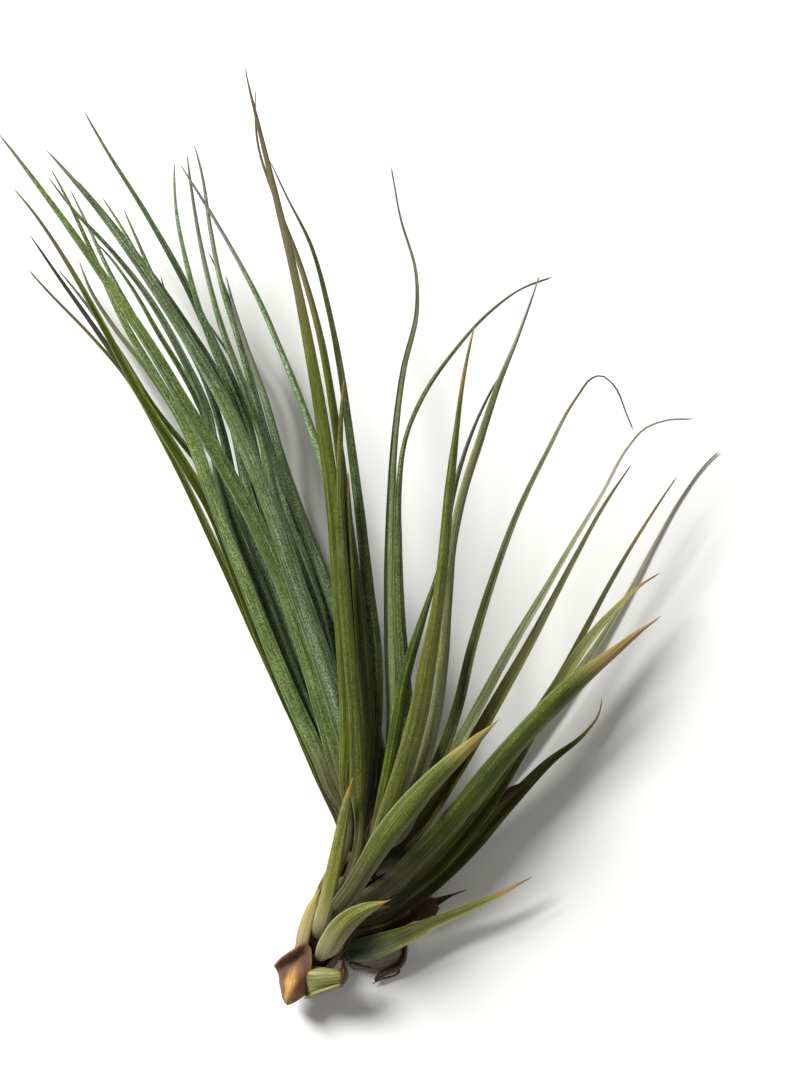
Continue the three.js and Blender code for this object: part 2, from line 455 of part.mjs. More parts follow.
// Turns a leaf's description into sections: centre, width and lean, with the root on the stem.
function layOut(leaf, side) {
  const line = smoothLine(leaf.course);
  const widths = widthsAlong(leaf, line);
  const length = line.reduce((sum, p, i) => sum + (i ? p.distanceTo(line[i - 1]) : 0), 0);
  const count = Math.min(MOST_SECTIONS, FEWEST_SECTIONS + Math.round(length / SECTION_EVERY));
  const steps = sectionSteps(line, count);
  const total = line.length - 1;
  const root = stemNear(line[0].x, line[0].y);
  const beside = Math.min(1, root.away / (root.radius + ROOT_GAP));
  const out = (root.radius + ROOT_GAP) * Math.sqrt(1 - beside * beside);
  const rootHeight = side === 'over' ? root.height + out : root.height - out;
  const centres = [];
  const shape = [];
  for (const i of steps) {
    const t = i / total;
    const rise = rootHeight + (leaf.tip - rootHeight) * t + leaf.bow * 4 * t * (1 - t);
    centres.push(new THREE.Vector3(line[i].x, line[i].y, rise));
    const sheath = Math.max(0, 1 - t / SHEATH_REACH);
    const tip = Math.max(0, (t - 1 + TIP_REACH) / TIP_REACH);
    let arc = ARC_BLADE + (ARC_SHEATH - ARC_BLADE) * sheath;
    arc = (leaf.arc ?? arc) + (ARC_TIP - arc) * (leaf.blunt ? 0 : tip);
    const lean = leaf.roll[0] + (leaf.roll[1] - leaf.roll[0]) * t;
    shape.push({ width: widths[i], arc: degrees(arc), lean: degrees(lean) });
  }
  return { leaf, side, centres, shape };
}

const UP = new THREE.Vector3(0, 0, 1);

// The corners of each section, outer face left to right, then inner face right to left.
function sectionRings({ side, centres, shape }) {
  return centres.map((centre, k) => {
    const before = centres[Math.max(0, k - 1)];
    const after = centres[Math.min(centres.length - 1, k + 1)];
    const along = after.clone().sub(before).normalize();
    const right = along.clone().cross(UP).normalize();
    const above = right.clone().cross(along).normalize();
    const { width, arc, lean } = shape[k];
    const facing = side === 'over' ? 1 : -1;
    const outward = above.clone().multiplyScalar(facing * Math.cos(lean))
      .addScaledVector(right, Math.sin(lean));
    const across = along.clone().cross(outward).normalize();
    const radius = (width / 2) / Math.sin(arc);
    const outer = [];
    const inner = [];
    for (let a = 0; a < ACROSS; a += 1) {
      const turn = arc * (2 * a / (ACROSS - 1) - 1);
      const ray = across.clone().multiplyScalar(Math.sin(turn)).addScaledVector(outward, Math.cos(turn));
      const middle = centre.clone().addScaledVector(ray, radius).addScaledVector(outward, -radius);
      outer.push(middle.clone().addScaledVector(ray, BLADE_THICKNESS / 2));
      inner.push(middle.clone().addScaledVector(ray, -BLADE_THICKNESS / 2));
    }
    return [...outer, ...inner.reverse()];
  });
}

// Triangles between the sections, split the same way on both faces, with a point or a flat end.
const RING = 2 * ACROSS;
function bladeMesh(rings, blunt) {
  const corners = rings.flat();
  const faces = [];
  for (let k = 0; k < rings.length - 1; k += 1) {
    for (let i = 0; i < RING; i += 1) {
      const j = (i + 1) % RING;
      const a = k * RING + i;
      const b = k * RING + j;
      const c = (k + 1) * RING + j;
      const d = (k + 1) * RING + i;
      if (i < ACROSS) faces.push([a, b, c], [a, c, d]);
      else faces.push([a, b, d], [b, c, d]);
    }
  }
  const last = (rings.length - 1) * RING;
  if (blunt) {
    for (let i = 0; i < ACROSS - 1; i += 1) {
      const far = RING - 1 - i;
      faces.push([last + i, last + i + 1, last + far], [last + i + 1, last + far - 1, last + far]);
    }
  } else {
    const end = rings[rings.length - 1];
    const middle = new THREE.Vector3();
    end.forEach((p) => middle.add(p));
    middle.divideScalar(RING);
    const before = new THREE.Vector3();
    rings[rings.length - 2].forEach((p) => before.add(p));
    before.divideScalar(RING);
    const along = middle.clone().sub(before).normalize();
    corners.push(middle.addScaledVector(along, TIP_POINT));
    const apex = corners.length - 1;
    for (let i = 0; i < RING; i += 1) faces.push([last + i, last + (i + 1) % RING, apex]);
  }
  for (let i = 0; i < ACROSS - 1; i += 1) {
    const far = RING - 1 - i;
    faces.push([i, far, i + 1], [i + 1, far, far - 1]);
  }
  return outwards({ corners, faces });
}

// Turns every face outwards if the closed mesh came out inside out.
function outwards(mesh) {
  let volume = 0;
  for (const [a, b, c] of mesh.faces) {
    volume += mesh.corners[a].dot(mesh.corners[b].clone().cross(mesh.corners[c]));
  }
  if (volume < 0) mesh.faces = mesh.faces.map(([a, b, c]) => [a, c, b]);
  return mesh;
}

// Two height maps of all that is placed so far: the highest and the lowest point over each cell.
const MAP_LOW = [-85, -12];
const MAP_HIGH = [125, 250];
const MAP_COLUMNS = Math.ceil((MAP_HIGH[0] - MAP_LOW[0]) / CELL);
const MAP_ROWS = Math.ceil((MAP_HIGH[1] - MAP_LOW[1]) / CELL);
const EMPTY = 1e6;                 // height that marks a cell with nothing over it
const highest = new Float32Array(MAP_COLUMNS * MAP_ROWS).fill(-EMPTY);
const lowest = new Float32Array(MAP_COLUMNS * MAP_ROWS).fill(EMPTY);

function cellOf(x, y) {
  return [Math.floor((x - MAP_LOW[0]) / CELL), Math.floor((y - MAP_LOW[1]) / CELL)];
}

// Calls visit with points spread closely over every face.
function overSurface(mesh, visit) {
  mesh.faces.forEach(([ia, ib, ic], face) => {
    const a = mesh.corners[ia];
    const b = mesh.corners[ib];
    const c = mesh.corners[ic];
    const reach = Math.max(Math.hypot(b.x - a.x, b.y - a.y), Math.hypot(c.x - a.x, c.y - a.y),
      Math.hypot(c.x - b.x, c.y - b.y));
    const wide = Math.hypot(b.x - a.x, b.y - a.y) < reach / 4 ? [a, b, c] : [a, c, b];
    const [p, q, r] = wide;
    const steps = Math.max(1, Math.ceil(reach / SAMPLE_STEP));
    for (let i = 0; i <= steps; i += 1) {
      const u = i / steps;
      const x0 = p.x + (r.x - p.x) * u;
      const y0 = p.y + (r.y - p.y) * u;
      const z0 = p.z + (r.z - p.z) * u;
      const x1 = q.x + (r.x - q.x) * u;
      const y1 = q.y + (r.y - q.y) * u;
      const z1 = q.z + (r.z - q.z) * u;
      const inner = Math.max(1, Math.ceil(Math.hypot(x1 - x0, y1 - y0) / SAMPLE_STEP));
      for (let j = 0; j <= inner; j += 1) {
        const v = j / inner;
        visit(x0 + (x1 - x0) * v, y0 + (y1 - y0) * v, z0 + (z1 - z0) * v, face);
      }
    }
  });
}

function addToMaps(mesh) {
  overSurface(mesh, (x, y, z) => {
    const [column, row] = cellOf(x, y);
    for (let dr = -1; dr <= 1; dr += 1) {
      for (let dc = -1; dc <= 1; dc += 1) {
        const cell = (row + dr) * MAP_COLUMNS + column + dc;
        if (z > highest[cell]) highest[cell] = z;
        if (z < lowest[cell]) lowest[cell] = z;
      }
    }
  });
}

// How far each section must rise, or sink, to clear all that is placed so far.
function heightNeeded(mesh, sections, side) {
  const need = new Array(sections).fill(-EMPTY);
  overSurface(mesh, (x, y, z, face) => {
    const [column, row] = cellOf(x, y);
    const cell = row * MAP_COLUMNS + column;
    const lift = side === 'over' ? highest[cell] + CLEARANCE - z : z - lowest[cell] + CLEARANCE;
    if (lift < -EMPTY / 2) return;
    const near = mesh.faces[face].map((i) => Math.min(sections - 1, Math.floor(i / RING)));
    for (const k of near) if (lift > need[k]) need[k] = lift;
  });
  return need;
}

// Bends a blade clear of what is placed so far. The lift dies away with distance, steeply over
// the sheath, which bulges round the ones inside it, and gently along the blade.
const CLEARING_ROUNDS = 7;
const SHEATH_SLOPE = 0.62;
const BLADE_SLOPE = 0.1;
const BLADE_FROM = 0.12;           // share of the blade's length where the steep slope starts to ease
const BLADE_BY = 0.27;             // and where it has eased to the gentle one
const SMOOTHING_PASSES = 3;
function easedLift(need, centres) {
  const lift = need.map((n) => Math.max(0, n));
  const last = lift.length - 1;
  const length = centres[0].distanceTo(centres[last]);
  const drop = (k) => {
    const gap = Math.hypot(centres[k].x - centres[k - 1].x, centres[k].y - centres[k - 1].y);
    const fromRoot = centres[k].distanceTo(centres[0]) / length;
    const blade = Math.min(1, Math.max(0, (fromRoot - BLADE_FROM) / (BLADE_BY - BLADE_FROM)));
    return gap * (SHEATH_SLOPE + (BLADE_SLOPE - SHEATH_SLOPE) * blade);
  };
  for (let k = 1; k <= last; k += 1) lift[k] = Math.max(lift[k], lift[k - 1] - drop(k));
  for (let k = last; k > 0; k -= 1) lift[k - 1] = Math.max(lift[k - 1], lift[k] - drop(k));
  for (let pass = 0; pass < SMOOTHING_PASSES; pass += 1) {
    for (let k = 1; k < last; k += 1) lift[k] = Math.max(lift[k], (lift[k - 1] + lift[k + 1]) / 2);
  }
  return lift;
}

function settle(blade) {
  const { leaf, side, centres } = blade;
  const direction = side === 'over' ? 1 : -1;
  let mesh = bladeMesh(sectionRings(blade), leaf.blunt);
  for (let round = 0; round < CLEARING_ROUNDS; round += 1) {
    const need = heightNeeded(mesh, centres.length, side);
    if (Math.max(...need) <= 0) break;
    const lift = easedLift(need, centres);
    centres.forEach((centre, k) => { centre.z += direction * lift[k]; });
    mesh = bladeMesh(sectionRings(blade), leaf.blunt);
  }
  return mesh;
}

// Keeps a low blade off the surface, or sets its lowest point on it where it rests.
const REST_FROM = 0.35;            // share of a resting blade that stays at its sheath's height
function meetSurface(blade, mesh) {
  const { leaf, centres } = blade;
  const outer = leaf.rests ? Math.ceil(REST_FROM * (centres.length - 1)) : 0;
  let low = Math.min(...mesh.corners.slice(outer * RING).map((p) => p.z));
  for (let round = 0; round < CLEARING_ROUNDS && (leaf.rests || low < FLOOR_CLEARANCE); round += 1) {
    const move = (leaf.rests ? 0 : FLOOR_CLEARANCE) - low;
    centres.forEach((centre, k) => {
      centre.z += move * (leaf.rests ? Math.min(1, k / outer) : 1);
    });
    mesh = bladeMesh(sectionRings(blade), leaf.blunt);
    low = Math.min(...mesh.corners.slice(outer * RING).map((p) => p.z));
  }
  return mesh;
}

// A round section swept along a path, each section flattened where it meets the surface.
function sweptMesh(path, radiusAt, sides, sections) {
  const corners = [];
  const faces = [];
  for (let k = 0; k <= sections; k += 1) {
    const t = k / sections;
    const centre = path.getPointAt(t);
    const along = path.getTangentAt(t);
    const right = along.clone().cross(UP).normalize();
    const above = right.clone().cross(along).normalize();
    for (let i = 0; i < sides; i += 1) {
      const turn = 2 * Math.PI * i / sides;
      const corner = centre.clone()
        .addScaledVector(right, radiusAt(t) * Math.cos(turn))
        .addScaledVector(above, radiusAt(t) * Math.sin(turn));
      corner.z = Math.max(0, corner.z);
      corners.push(corner);
    }
  }
  for (let k = 0; k < sections; k += 1) {
    for (let i = 0; i < sides; i += 1) {
      const j = (i + 1) % sides;
      const a = k * sides + i;
      const b = k * sides + j;
      const c = (k + 1) * sides + j;
      const d = (k + 1) * sides + i;
      faces.push([a, b, c], [a, c, d]);
    }
  }
  for (let i = 1; i < sides - 1; i += 1) {
    faces.push([0, i + 1, i]);
    const end = sections * sides;
    faces.push([end, end + i, end + i + 1]);
  }
  return outwards({ corners, faces });
}

function toGeometry(mesh, shift) {
  const position = new Float32Array(mesh.corners.length * 3);
  mesh.corners.forEach((p, i) => position.set([p.x + shift.x, p.y + shift.y, p.z + shift.z], 3 * i));
  const geometry = new THREE.BufferGeometry();
  geometry.setAttribute('position', new THREE.BufferAttribute(position, 3));
  geometry.setIndex(mesh.faces.flat());
  geometry.computeVertexNormals();
  return geometry;
}

// The stem first, then what lies over it, then what lies under it.
const solids = [];
const stemMesh = sweptMesh(stemPath, stemRadius, STEM_SIDES, STEM_SECTIONS);
addToMaps(stemMesh);
solids.push({ name: 'stem', finish: 'stem', mesh: stemMesh });

for (const leaf of overLeaves) {
  const mesh = settle(layOut(leaf, 'over'));
  addToMaps(mesh);
  solids.push({ name: leaf.name, finish: leaf.finish, mesh });
}

for (const leaf of [...underLeaves, ...remains]) {
  const blade = layOut(leaf, 'under');
  const mesh = meetSurface(blade, settle(blade));
  addToMaps(mesh);
  solids.push({ name: leaf.name, finish: leaf.finish, mesh });
}

const rootPath = new THREE.CatmullRomCurve3(rootCourse.map(([p, height]) => {
  const [x, y] = place(p);
  return new THREE.Vector3(x, y, height);
}), false, 'centripetal');
const rootMesh = sweptMesh(rootPath, () => ROOT_RADIUS, ROOT_SIDES, ROOT_SECTIONS);
solids.push({ name: 'wiry_root', finish: 'blackened', mesh: rootMesh });

// The origin goes to the middle of the box's underside.
const box = new THREE.Box3();
for (const { mesh } of solids) box.union(new THREE.Box3().setFromPoints(mesh.corners));
const middle = box.getCenter(new THREE.Vector3());
const shift = new THREE.Vector3(-middle.x, -middle.y, -box.min.z);

const plant = new THREE.Group();
plant.name = 'tillandsia_seideliana';
for (const { name, finish, mesh } of solids) {
  const piece = new THREE.Mesh(toGeometry(mesh, shift), materials[finish]);
  piece.name = name;
  plant.add(piece);
}

export default plant;
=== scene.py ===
import math

import bmesh
import bpy
import numpy as np
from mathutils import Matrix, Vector
from mathutils.bvhtree import BVHTree


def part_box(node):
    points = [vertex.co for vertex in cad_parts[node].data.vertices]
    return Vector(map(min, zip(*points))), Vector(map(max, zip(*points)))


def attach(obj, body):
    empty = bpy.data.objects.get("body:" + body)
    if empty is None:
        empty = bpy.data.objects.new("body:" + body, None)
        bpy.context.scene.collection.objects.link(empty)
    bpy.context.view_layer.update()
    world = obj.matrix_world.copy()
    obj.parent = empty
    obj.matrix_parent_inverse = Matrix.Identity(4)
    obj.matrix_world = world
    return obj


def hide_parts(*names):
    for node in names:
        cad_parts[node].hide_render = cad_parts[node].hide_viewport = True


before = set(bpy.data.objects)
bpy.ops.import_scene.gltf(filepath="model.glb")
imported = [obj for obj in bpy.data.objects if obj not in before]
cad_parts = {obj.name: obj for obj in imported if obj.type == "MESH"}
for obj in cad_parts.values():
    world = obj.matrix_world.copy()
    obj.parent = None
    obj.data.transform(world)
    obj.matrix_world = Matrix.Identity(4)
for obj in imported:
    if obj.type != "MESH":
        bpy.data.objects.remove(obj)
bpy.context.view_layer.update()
MM = 0.001


# The stem is a short woody core that the leaves clasp, and it shows only between their bases and
# from below. Old leaves have left rings of torn fibre on it, so it is dull brown with pale scars.
STEM_WELD = 0.02 * MM
STEM_ROUNDING = 2
STEM_DRAWN_IN = 2
SCAR_SPACING = 2.6
SCAR_HEIGHT = 0.28
STEM_BROWN = "54422a"
STEM_SHADE = "1d150c"
STEM_SCAR = "8a7c56"
STEM_GRAIN = 0.35
FLAT_TO = 0.1
RINGS_FROM = 1.2

# The left edge of the neck, measured down the plant in mm: how far down, where the edge of the
# solids is, and how far the sheaths are drawn in there so that they close round the stem.
NECK = np.array([(10, -30, 0), (39, -19.5, -0.7), (54, -13.5, -1.0), (61.6, -11, -0.4), (65.3, -10.3, 0.6),
                 (70, -10.3, 3.0), (73, -10.3, 3.7), (77, -10.3, 3.7), (81, -10.5, 2.9), (85.3, -11, 2.1),
                 (89.1, -12, 0.9), (93, -13, 0), (110, -16, 0)])
NECK_REACH = 14.0
NECK_SOFTENING = 5


def linear(code):
    """The linear colour of an sRGB hex value."""
    parts = [int(code[k:k + 2], 16) / 255 for k in (0, 2, 4)]
    return (*(c / 12.92 if c <= 0.04045 else ((c + 0.055) / 1.055) ** 2.4 for c in parts), 1.0)


def add_node(tree, kind, links=None, **settings):
    """Adds a node, gives its inputs a value, a link or a list of links, and returns its outputs."""
    node = tree.nodes.new(kind)
    for name, value in settings.items():
        setattr(node, name, value)
    for socket, value in (links or {}).items():
        for source in value if isinstance(value, list) else [value]:
            if isinstance(source, bpy.types.NodeSocket):
                tree.links.new(source, node.inputs[socket])
            else:
                node.inputs[socket].default_value = source
    return node.outputs


def new_finish(name, roughness, **constants):
    """A material with its shader, whose constant sockets are set on the shader itself."""
    finish = bpy.data.materials.new(name)
    finish.use_nodes = True
    shader = finish.node_tree.nodes["Principled BSDF"]
    shader.inputs["Roughness"].default_value = roughness
    for socket, value in constants.items():
        shader.inputs[socket.replace("_", " ")].default_value = value
    return finish, finish.node_tree, shader


def welded_copy(node, name):
    """A copy of a CAD node's mesh with its loose triangles joined."""
    shell = bmesh.new()
    shell.from_mesh(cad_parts[node].data)
    bmesh.ops.remove_doubles(shell, verts=shell.verts, dist=STEM_WELD)
    mesh = bpy.data.meshes.new(name)
    shell.to_mesh(mesh)
    shell.free()
    piece = bpy.data.objects.new(name, mesh)
    bpy.context.scene.collection.objects.link(piece)
    return piece


def set_inputs(piece, tree, values):
    """Puts a node tree on a piece and sets its named inputs."""
    modifier = piece.modifiers.new(tree.name, "NODES")
    modifier.node_group = tree
    for name, value in values.items():
        modifier[tree.interface.items_tree[name].identifier] = value


def finish_piece(piece, nodes):
    """Makes a piece plain, hides the CAD nodes that it stands for, and hangs it on the root body."""
    graph = bpy.context.evaluated_depsgraph_get()
    mesh = bpy.data.meshes.new_from_object(
        piece.evaluated_get(graph), preserve_all_data_layers=True, depsgraph=graph)
    piece.modifiers.clear()
    piece.data = mesh
    if nodes:
        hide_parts(*nodes)
    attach(piece, "root")


def ease(low, high, value):
    """Runs smoothly from 0 at low to 1 at high."""
    t = np.clip((value - low) / (high - low), 0, 1)
    return t * t * (3 - 2 * t)


def drawn_in(points):
    """Draws the sheaths on the left of the neck in towards the stem."""
    down = np.arange(NECK[0, 0], NECK[-1, 0])
    soft = np.ones(NECK_SOFTENING) / NECK_SOFTENING
    edge, shift = (np.interp(down, NECK[:, 0], NECK[:, k]) for k in (1, 2))
    shift = np.convolve(shift, soft, "same")
    x, depth = points[..., 0] / MM, -points[..., 1] / MM
    kept = 1 - ease(0, NECK_REACH, x - np.interp(depth, down, edge))
    moved = points.copy()
    moved[..., 0] += np.interp(depth, down, shift) * kept * MM
    return moved


def new_tree(name, inputs):
    """A geometry tree with named inputs, and the sockets where it begins and ends."""
    tree = bpy.data.node_groups.new(name, "GeometryNodeTree")
    tree.interface.new_socket("Geometry", in_out="INPUT", socket_type="NodeSocketGeometry")
    tree.interface.new_socket("Geometry", in_out="OUTPUT", socket_type="NodeSocketGeometry")
    for label, kind in inputs.items():
        tree.interface.new_socket(label, in_out="INPUT", socket_type=kind)
    return tree, tree.nodes.new("NodeGroupInput").outputs, tree.nodes.new("NodeGroupOutput").inputs


# Bark of dead leaf bases: fibrous, matt, brown, darker in the grooves between the scars.
stem_fibre, tree, shader = new_finish("woody stem with leaf scars", 0.85)
here = add_node(tree, "ShaderNodeTexCoord")["Object"]
grain_at = add_node(tree, "ShaderNodeVectorMath", {0: here, 1: (1 / MM, 0.15 / MM, 1 / MM)},
                    operation="MULTIPLY")[0]
grain = add_node(tree, "ShaderNodeTexNoise",
                 {"Vector": grain_at, "Scale": 1 / STEM_GRAIN, "Detail": 4.0})["Fac"]
brown = add_node(tree, "ShaderNodeMix", {"Factor": grain, 6: linear(STEM_SHADE), 7: linear(STEM_BROWN)},
                 data_type="RGBA")[2]
old_at = add_node(tree, "ShaderNodeVectorMath", {0: here, 1: (0.2 / MM, 0.5 / MM, 0.2 / MM)},
                  operation="MULTIPLY")[0]
remnants = add_node(tree, "ShaderNodeTexNoise", {"Vector": old_at, "Scale": 1.0, "Detail": 5.0})["Fac"]
scarred = add_node(tree, "ShaderNodeMapRange", {0: remnants, 1: 0.52, 2: 0.7, 4: 0.6})[0]
bark = add_node(tree, "ShaderNodeMix", {"Factor": scarred, 6: brown, 7: linear(STEM_SCAR)},
                data_type="RGBA")[2]
tree.links.new(bark, shader.inputs["Base Color"])
relief = add_node(tree, "ShaderNodeBump", {"Strength": 0.8, "Distance": 0.2 * MM, "Height": grain})[0]
tree.links.new(relief, shader.inputs["Normal"])

# Raises a ring round the stem at each scar, and keeps the flat spot under the foot.
scar_tree, given, result = new_tree("leaf scars", {
    "Spacing": "NodeSocketFloat", "Height": "NodeSocketFloat", "Material": "NodeSocketMaterial"})
where = add_node(scar_tree, "GeometryNodeInputPosition")[0]
along_stem = add_node(scar_tree, "ShaderNodeSeparateXYZ", {0: where})
ring = add_node(scar_tree, "ShaderNodeMath", {0: along_stem["Y"], 1: given["Spacing"]},
                operation="DIVIDE")[0]
saw = add_node(scar_tree, "ShaderNodeMath", {0: ring}, operation="FRACT")[0]
swell = add_node(scar_tree, "ShaderNodeMath", {0: saw, 1: given["Height"]}, operation="MULTIPLY")[0]
above_flat = add_node(scar_tree, "ShaderNodeMapRange",
                      {0: along_stem["Z"], 1: FLAT_TO * MM, 2: RINGS_FROM * MM})[0]
lift = add_node(scar_tree, "ShaderNodeMath", {0: swell, 1: above_flat}, operation="MULTIPLY")[0]
out = add_node(scar_tree, "GeometryNodeInputNormal")[0]
push = add_node(scar_tree, "ShaderNodeVectorMath", {0: out, "Scale": lift}, operation="SCALE")[0]
raised = add_node(scar_tree, "GeometryNodeSetPosition", {"Geometry": given["Geometry"], "Offset": push})[0]
real = add_node(scar_tree, "GeometryNodeRealizeInstances", {0: raised})[0]
dressed = add_node(scar_tree, "GeometryNodeSetMaterial", {0: real, "Material": given["Material"]})[0]
scar_tree.links.new(dressed, result[0])

stem = welded_copy("stem", "stem_core")
for _ in range(STEM_DRAWN_IN):
    for vertex in stem.data.vertices:
        vertex.co = Vector(drawn_in(np.array([vertex.co[:]]))[0])
for polygon in stem.data.polygons:
    polygon.use_smooth = True
rounding = stem.modifiers.new("rounding", "SUBSURF")
rounding.levels = STEM_ROUNDING
rounding.render_levels = STEM_ROUNDING
set_inputs(stem, scar_tree, {"Spacing": SCAR_SPACING * MM, "Height": SCAR_HEIGHT * MM,
                             "Material": stem_fibre})
finish_piece(stem, ["stem"])


# The bundle's leaves are long channelled blades of living leaf tissue, stiff and leathery. Silver
# scales in rows frost them, and each clasps the stem with a pale sheath and ends in a dry thread.
CORNERS = 8
HALF = 4
FLAT_ENOUGH = 0.99995
STATION_EVERY = 1.7
COLUMNS = 19
BARE_TIP_WIDTH = 0.72
TIP_NARROWING = 0.6
NARROWING_REACH = 1.5
POINT_LENGTH = 7.0
POINT_SPARED = 1.2
END_REACH = 1.2
KEEL_THICKNESS = 0.46
RIB_PITCH = 1.25
RIB_HEIGHT = 0.05
WAVE_HEIGHT = 0.2
WAVE_LENGTH = 9.0
TUCK_LENGTH = 7.0
TUCK_DEPTH = 2.6
TUCK_NARROWING = 0.25
ROOT_DEPTH = 1.2
ROOT_SPREAD = 1.3
ROOT_NARROWING = 0.35
LOWEST = 0.25
FEWEST_STATIONS = 8
WIDENS_FROM = 0.5
WIDE_FROM = 0.8
WIDENING_LOST = 0.6
WAVE_STRETCH = (0.35, 1.0, 1.0)
FACE_WELD = 0.002
def ordered_ring(layer):
    """The corners of one section in order round its rim."""
    order = [min(layer, key=lambda v: v.index)]
    for _ in range(CORNERS - 1):
        for edge in order[-1].link_edges:
            other = edge.other_vert(order[-1])
            on_rim = any(v not in layer for face in edge.link_faces for v in face.verts)
            if other in layer and other not in order and on_rim:
                order.append(other)
                break
    return np.array([v.co[:] for v in order])


def end_caps(shell):
    """The flat ends of a CAD blade, each as the set of its corners."""
    caps = []
    seen = set()
    for start in shell.faces:
        flat = {start}
        waiting = [start]
        while waiting:
            near = {face for edge in waiting.pop().edges for face in edge.link_faces} - flat
            level = {face for face in near if face.normal.dot(start.normal) > FLAT_ENOUGH}
            flat |= level
            waiting.extend(level)
        corners = {v for face in flat for v in face.verts}
        if len(flat) == CORNERS - 2 and len(corners) == CORNERS and not corners & seen:
            caps.append(corners)
            seen |= corners
    return caps


def in_step(ring, before):
    """The ring turned and, if need be, reversed so that its corners follow those before it."""
    turned = [np.roll(way, k, axis=0) for way in (ring, ring[::-1]) for k in range(CORNERS)]
    return min(turned, key=lambda r: np.linalg.norm(r - before, axis=1).sum())


def blade_sections(node):
    """A CAD blade's sections from root to tip: outer and inner corners, four each, and its point."""
    shell = bmesh.new()
    shell.from_mesh(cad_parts[node].data)
    bmesh.ops.remove_doubles(shell, verts=shell.verts, dist=STEM_WELD)
    shell.verts.index_update()
    shell.normal_update()
    stem_middle = Vector([sum(side) / 2 for side in zip(*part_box("stem"))])
    layer = min(end_caps(shell), key=lambda cap: min((v.co - stem_middle).length for v in cap))
    seen = set(layer)
    rings = []
    apex = None
    while layer:
        if len(layer) == CORNERS:
            ring = ordered_ring(layer)
            rings.append(in_step(ring, rings[-1]) if rings else ring)
        elif len(layer) == 1:
            apex = np.array(next(iter(layer)).co[:])
        layer = {edge.other_vert(v) for v in layer for edge in v.link_edges} - seen
        seen |= layer
    shell.free()
    rings = np.array(rings)
    girth = np.linalg.norm(np.roll(rings, -1, axis=1) - rings, axis=2)
    widest = girth[girth.sum(1).argmax()]
    margin = min(range(HALF), key=lambda k: widest[k] + widest[k + HALF])
    rings = np.roll(rings, -(margin + 1), axis=1)
    first, second = rings[:, :HALF], rings[:, :HALF - 1:-1]
    length = [np.linalg.norm(np.diff(side, axis=1), axis=2).sum() for side in (first, second)]
    outer, inner = (first, second) if length[0] > length[1] else (second, first)
    return outer, inner, apex


def smooth_curve(points, marks, at):
    """A smooth curve through points at their marks, read at other places along it."""
    slope = np.gradient(points, marks, axis=0)
    k = np.clip(np.searchsorted(marks, at, side="right") - 1, 0, len(marks) - 2)
    span = (marks[k + 1] - marks[k])
    t = (at - marks[k]) / span
    shape = (-1,) + (1,) * (points.ndim - 1)
    t, span = t.reshape(shape), span.reshape(shape)
    return ((2 * t ** 3 - 3 * t ** 2 + 1) * points[k] + (t ** 3 - 2 * t ** 2 + t) * span * slope[k]
            + (3 * t ** 2 - 2 * t ** 3) * points[k + 1] + (t ** 3 - t ** 2) * span * slope[k + 1])


def across_weights(u):
    """Weights of the four points across a section for a place from -1 to 1 across it."""
    knots = np.array([-1, -1 / 3, 1 / 3, 1])
    weights = np.ones((len(u), HALF))
    for k in range(HALF):
        for j in range(HALF):
            if j != k:
                weights[:, k] *= (u - knots[j]) / (knots[k] - knots[j])
    return weights


def tucked(grid, depth=TUCK_DEPTH):
    """Turns the root end of a blade down towards the stem and makes it narrower there."""
    pull = (1 - np.clip(grid["at"] / TUCK_LENGTH, 0, 1)) ** 2
    surface = grid["surface"]
    keel = surface[:, len(grid["across"]) // 2][:, None]
    surface = keel + (surface - keel) * (1 - TUCK_NARROWING * pull)[:, None, None]
    surface[..., 2] -= (pull * depth * MM)[:, None]
    surface[..., 2] = np.maximum(surface[..., 2], LOWEST * MM)
    grid["surface"] = surface
    return grid


stem_skin = BVHTree.FromPolygons([vertex.co[:] for vertex in stem.data.vertices],
                                 [list(polygon.vertices) for polygon in stem.data.polygons])


def rooted(grid):
    """Bends the root end of a blade on, and draws it in, until it sits in the stem."""
    root = Vector(grid["surface"][0].mean(0))
    place, facing, _, gap = stem_skin.find_nearest(root)
    if (root - place).dot(facing) < 0:
        return grid
    goal = place - facing * ROOT_DEPTH * MM
    pull = (1 - np.clip(grid["at"] / (TUCK_LENGTH + ROOT_SPREAD * gap / MM), 0, 1)) ** 2
    keel = grid["surface"][:, len(grid["across"]) // 2][:, None]
    surface = keel + (grid["surface"] - keel) * (1 - ROOT_NARROWING * pull)[:, None, None]
    surface = surface + pull[:, None, None] * np.array(goal - root)
    surface[..., 2] = np.maximum(surface[..., 2], LOWEST * MM)
    grid["surface"] = surface
    return grid


def blade_grid(node, columns=COLUMNS, every=STATION_EVERY):
    """The middle surface of a CAD blade as a fine grid, with what is known at each place on it."""
    outer, inner, tip = blade_sections(node)
    middle = (outer + inner) / 2
    facing = outer - inner
    if tip is not None:
        middle = np.concatenate([middle, np.broadcast_to(tip, (1, HALF, 3))])
        facing = np.concatenate([facing, facing[-1:]])
    steps = np.linalg.norm(np.diff(middle.mean(1), axis=0), axis=1)
    marks = np.concatenate([[0], np.cumsum(steps)])
    length = marks[-1] - (POINT_SPARED * MM if tip is not None else 0)
    at = np.linspace(0, length, int(length / (every * MM)) + FEWEST_STATIONS)
    lines = smooth_curve(middle, marks, at)
    u = np.sin(np.linspace(-1, 1, columns) * math.pi / 2)
    surface = np.einsum("nkd,ck->ncd", lines, across_weights(u))
    width = np.linalg.norm(lines[:, -1] - lines[:, 0], axis=1) / MM
    outward = smooth_curve(facing.mean(1), marks, at)
    outward /= np.linalg.norm(outward, axis=1, keepdims=True)
    return {"surface": surface, "across": u, "at": at / MM, "length": length / MM, "width": width,
            "outward": outward, "pointed": tip is not None}


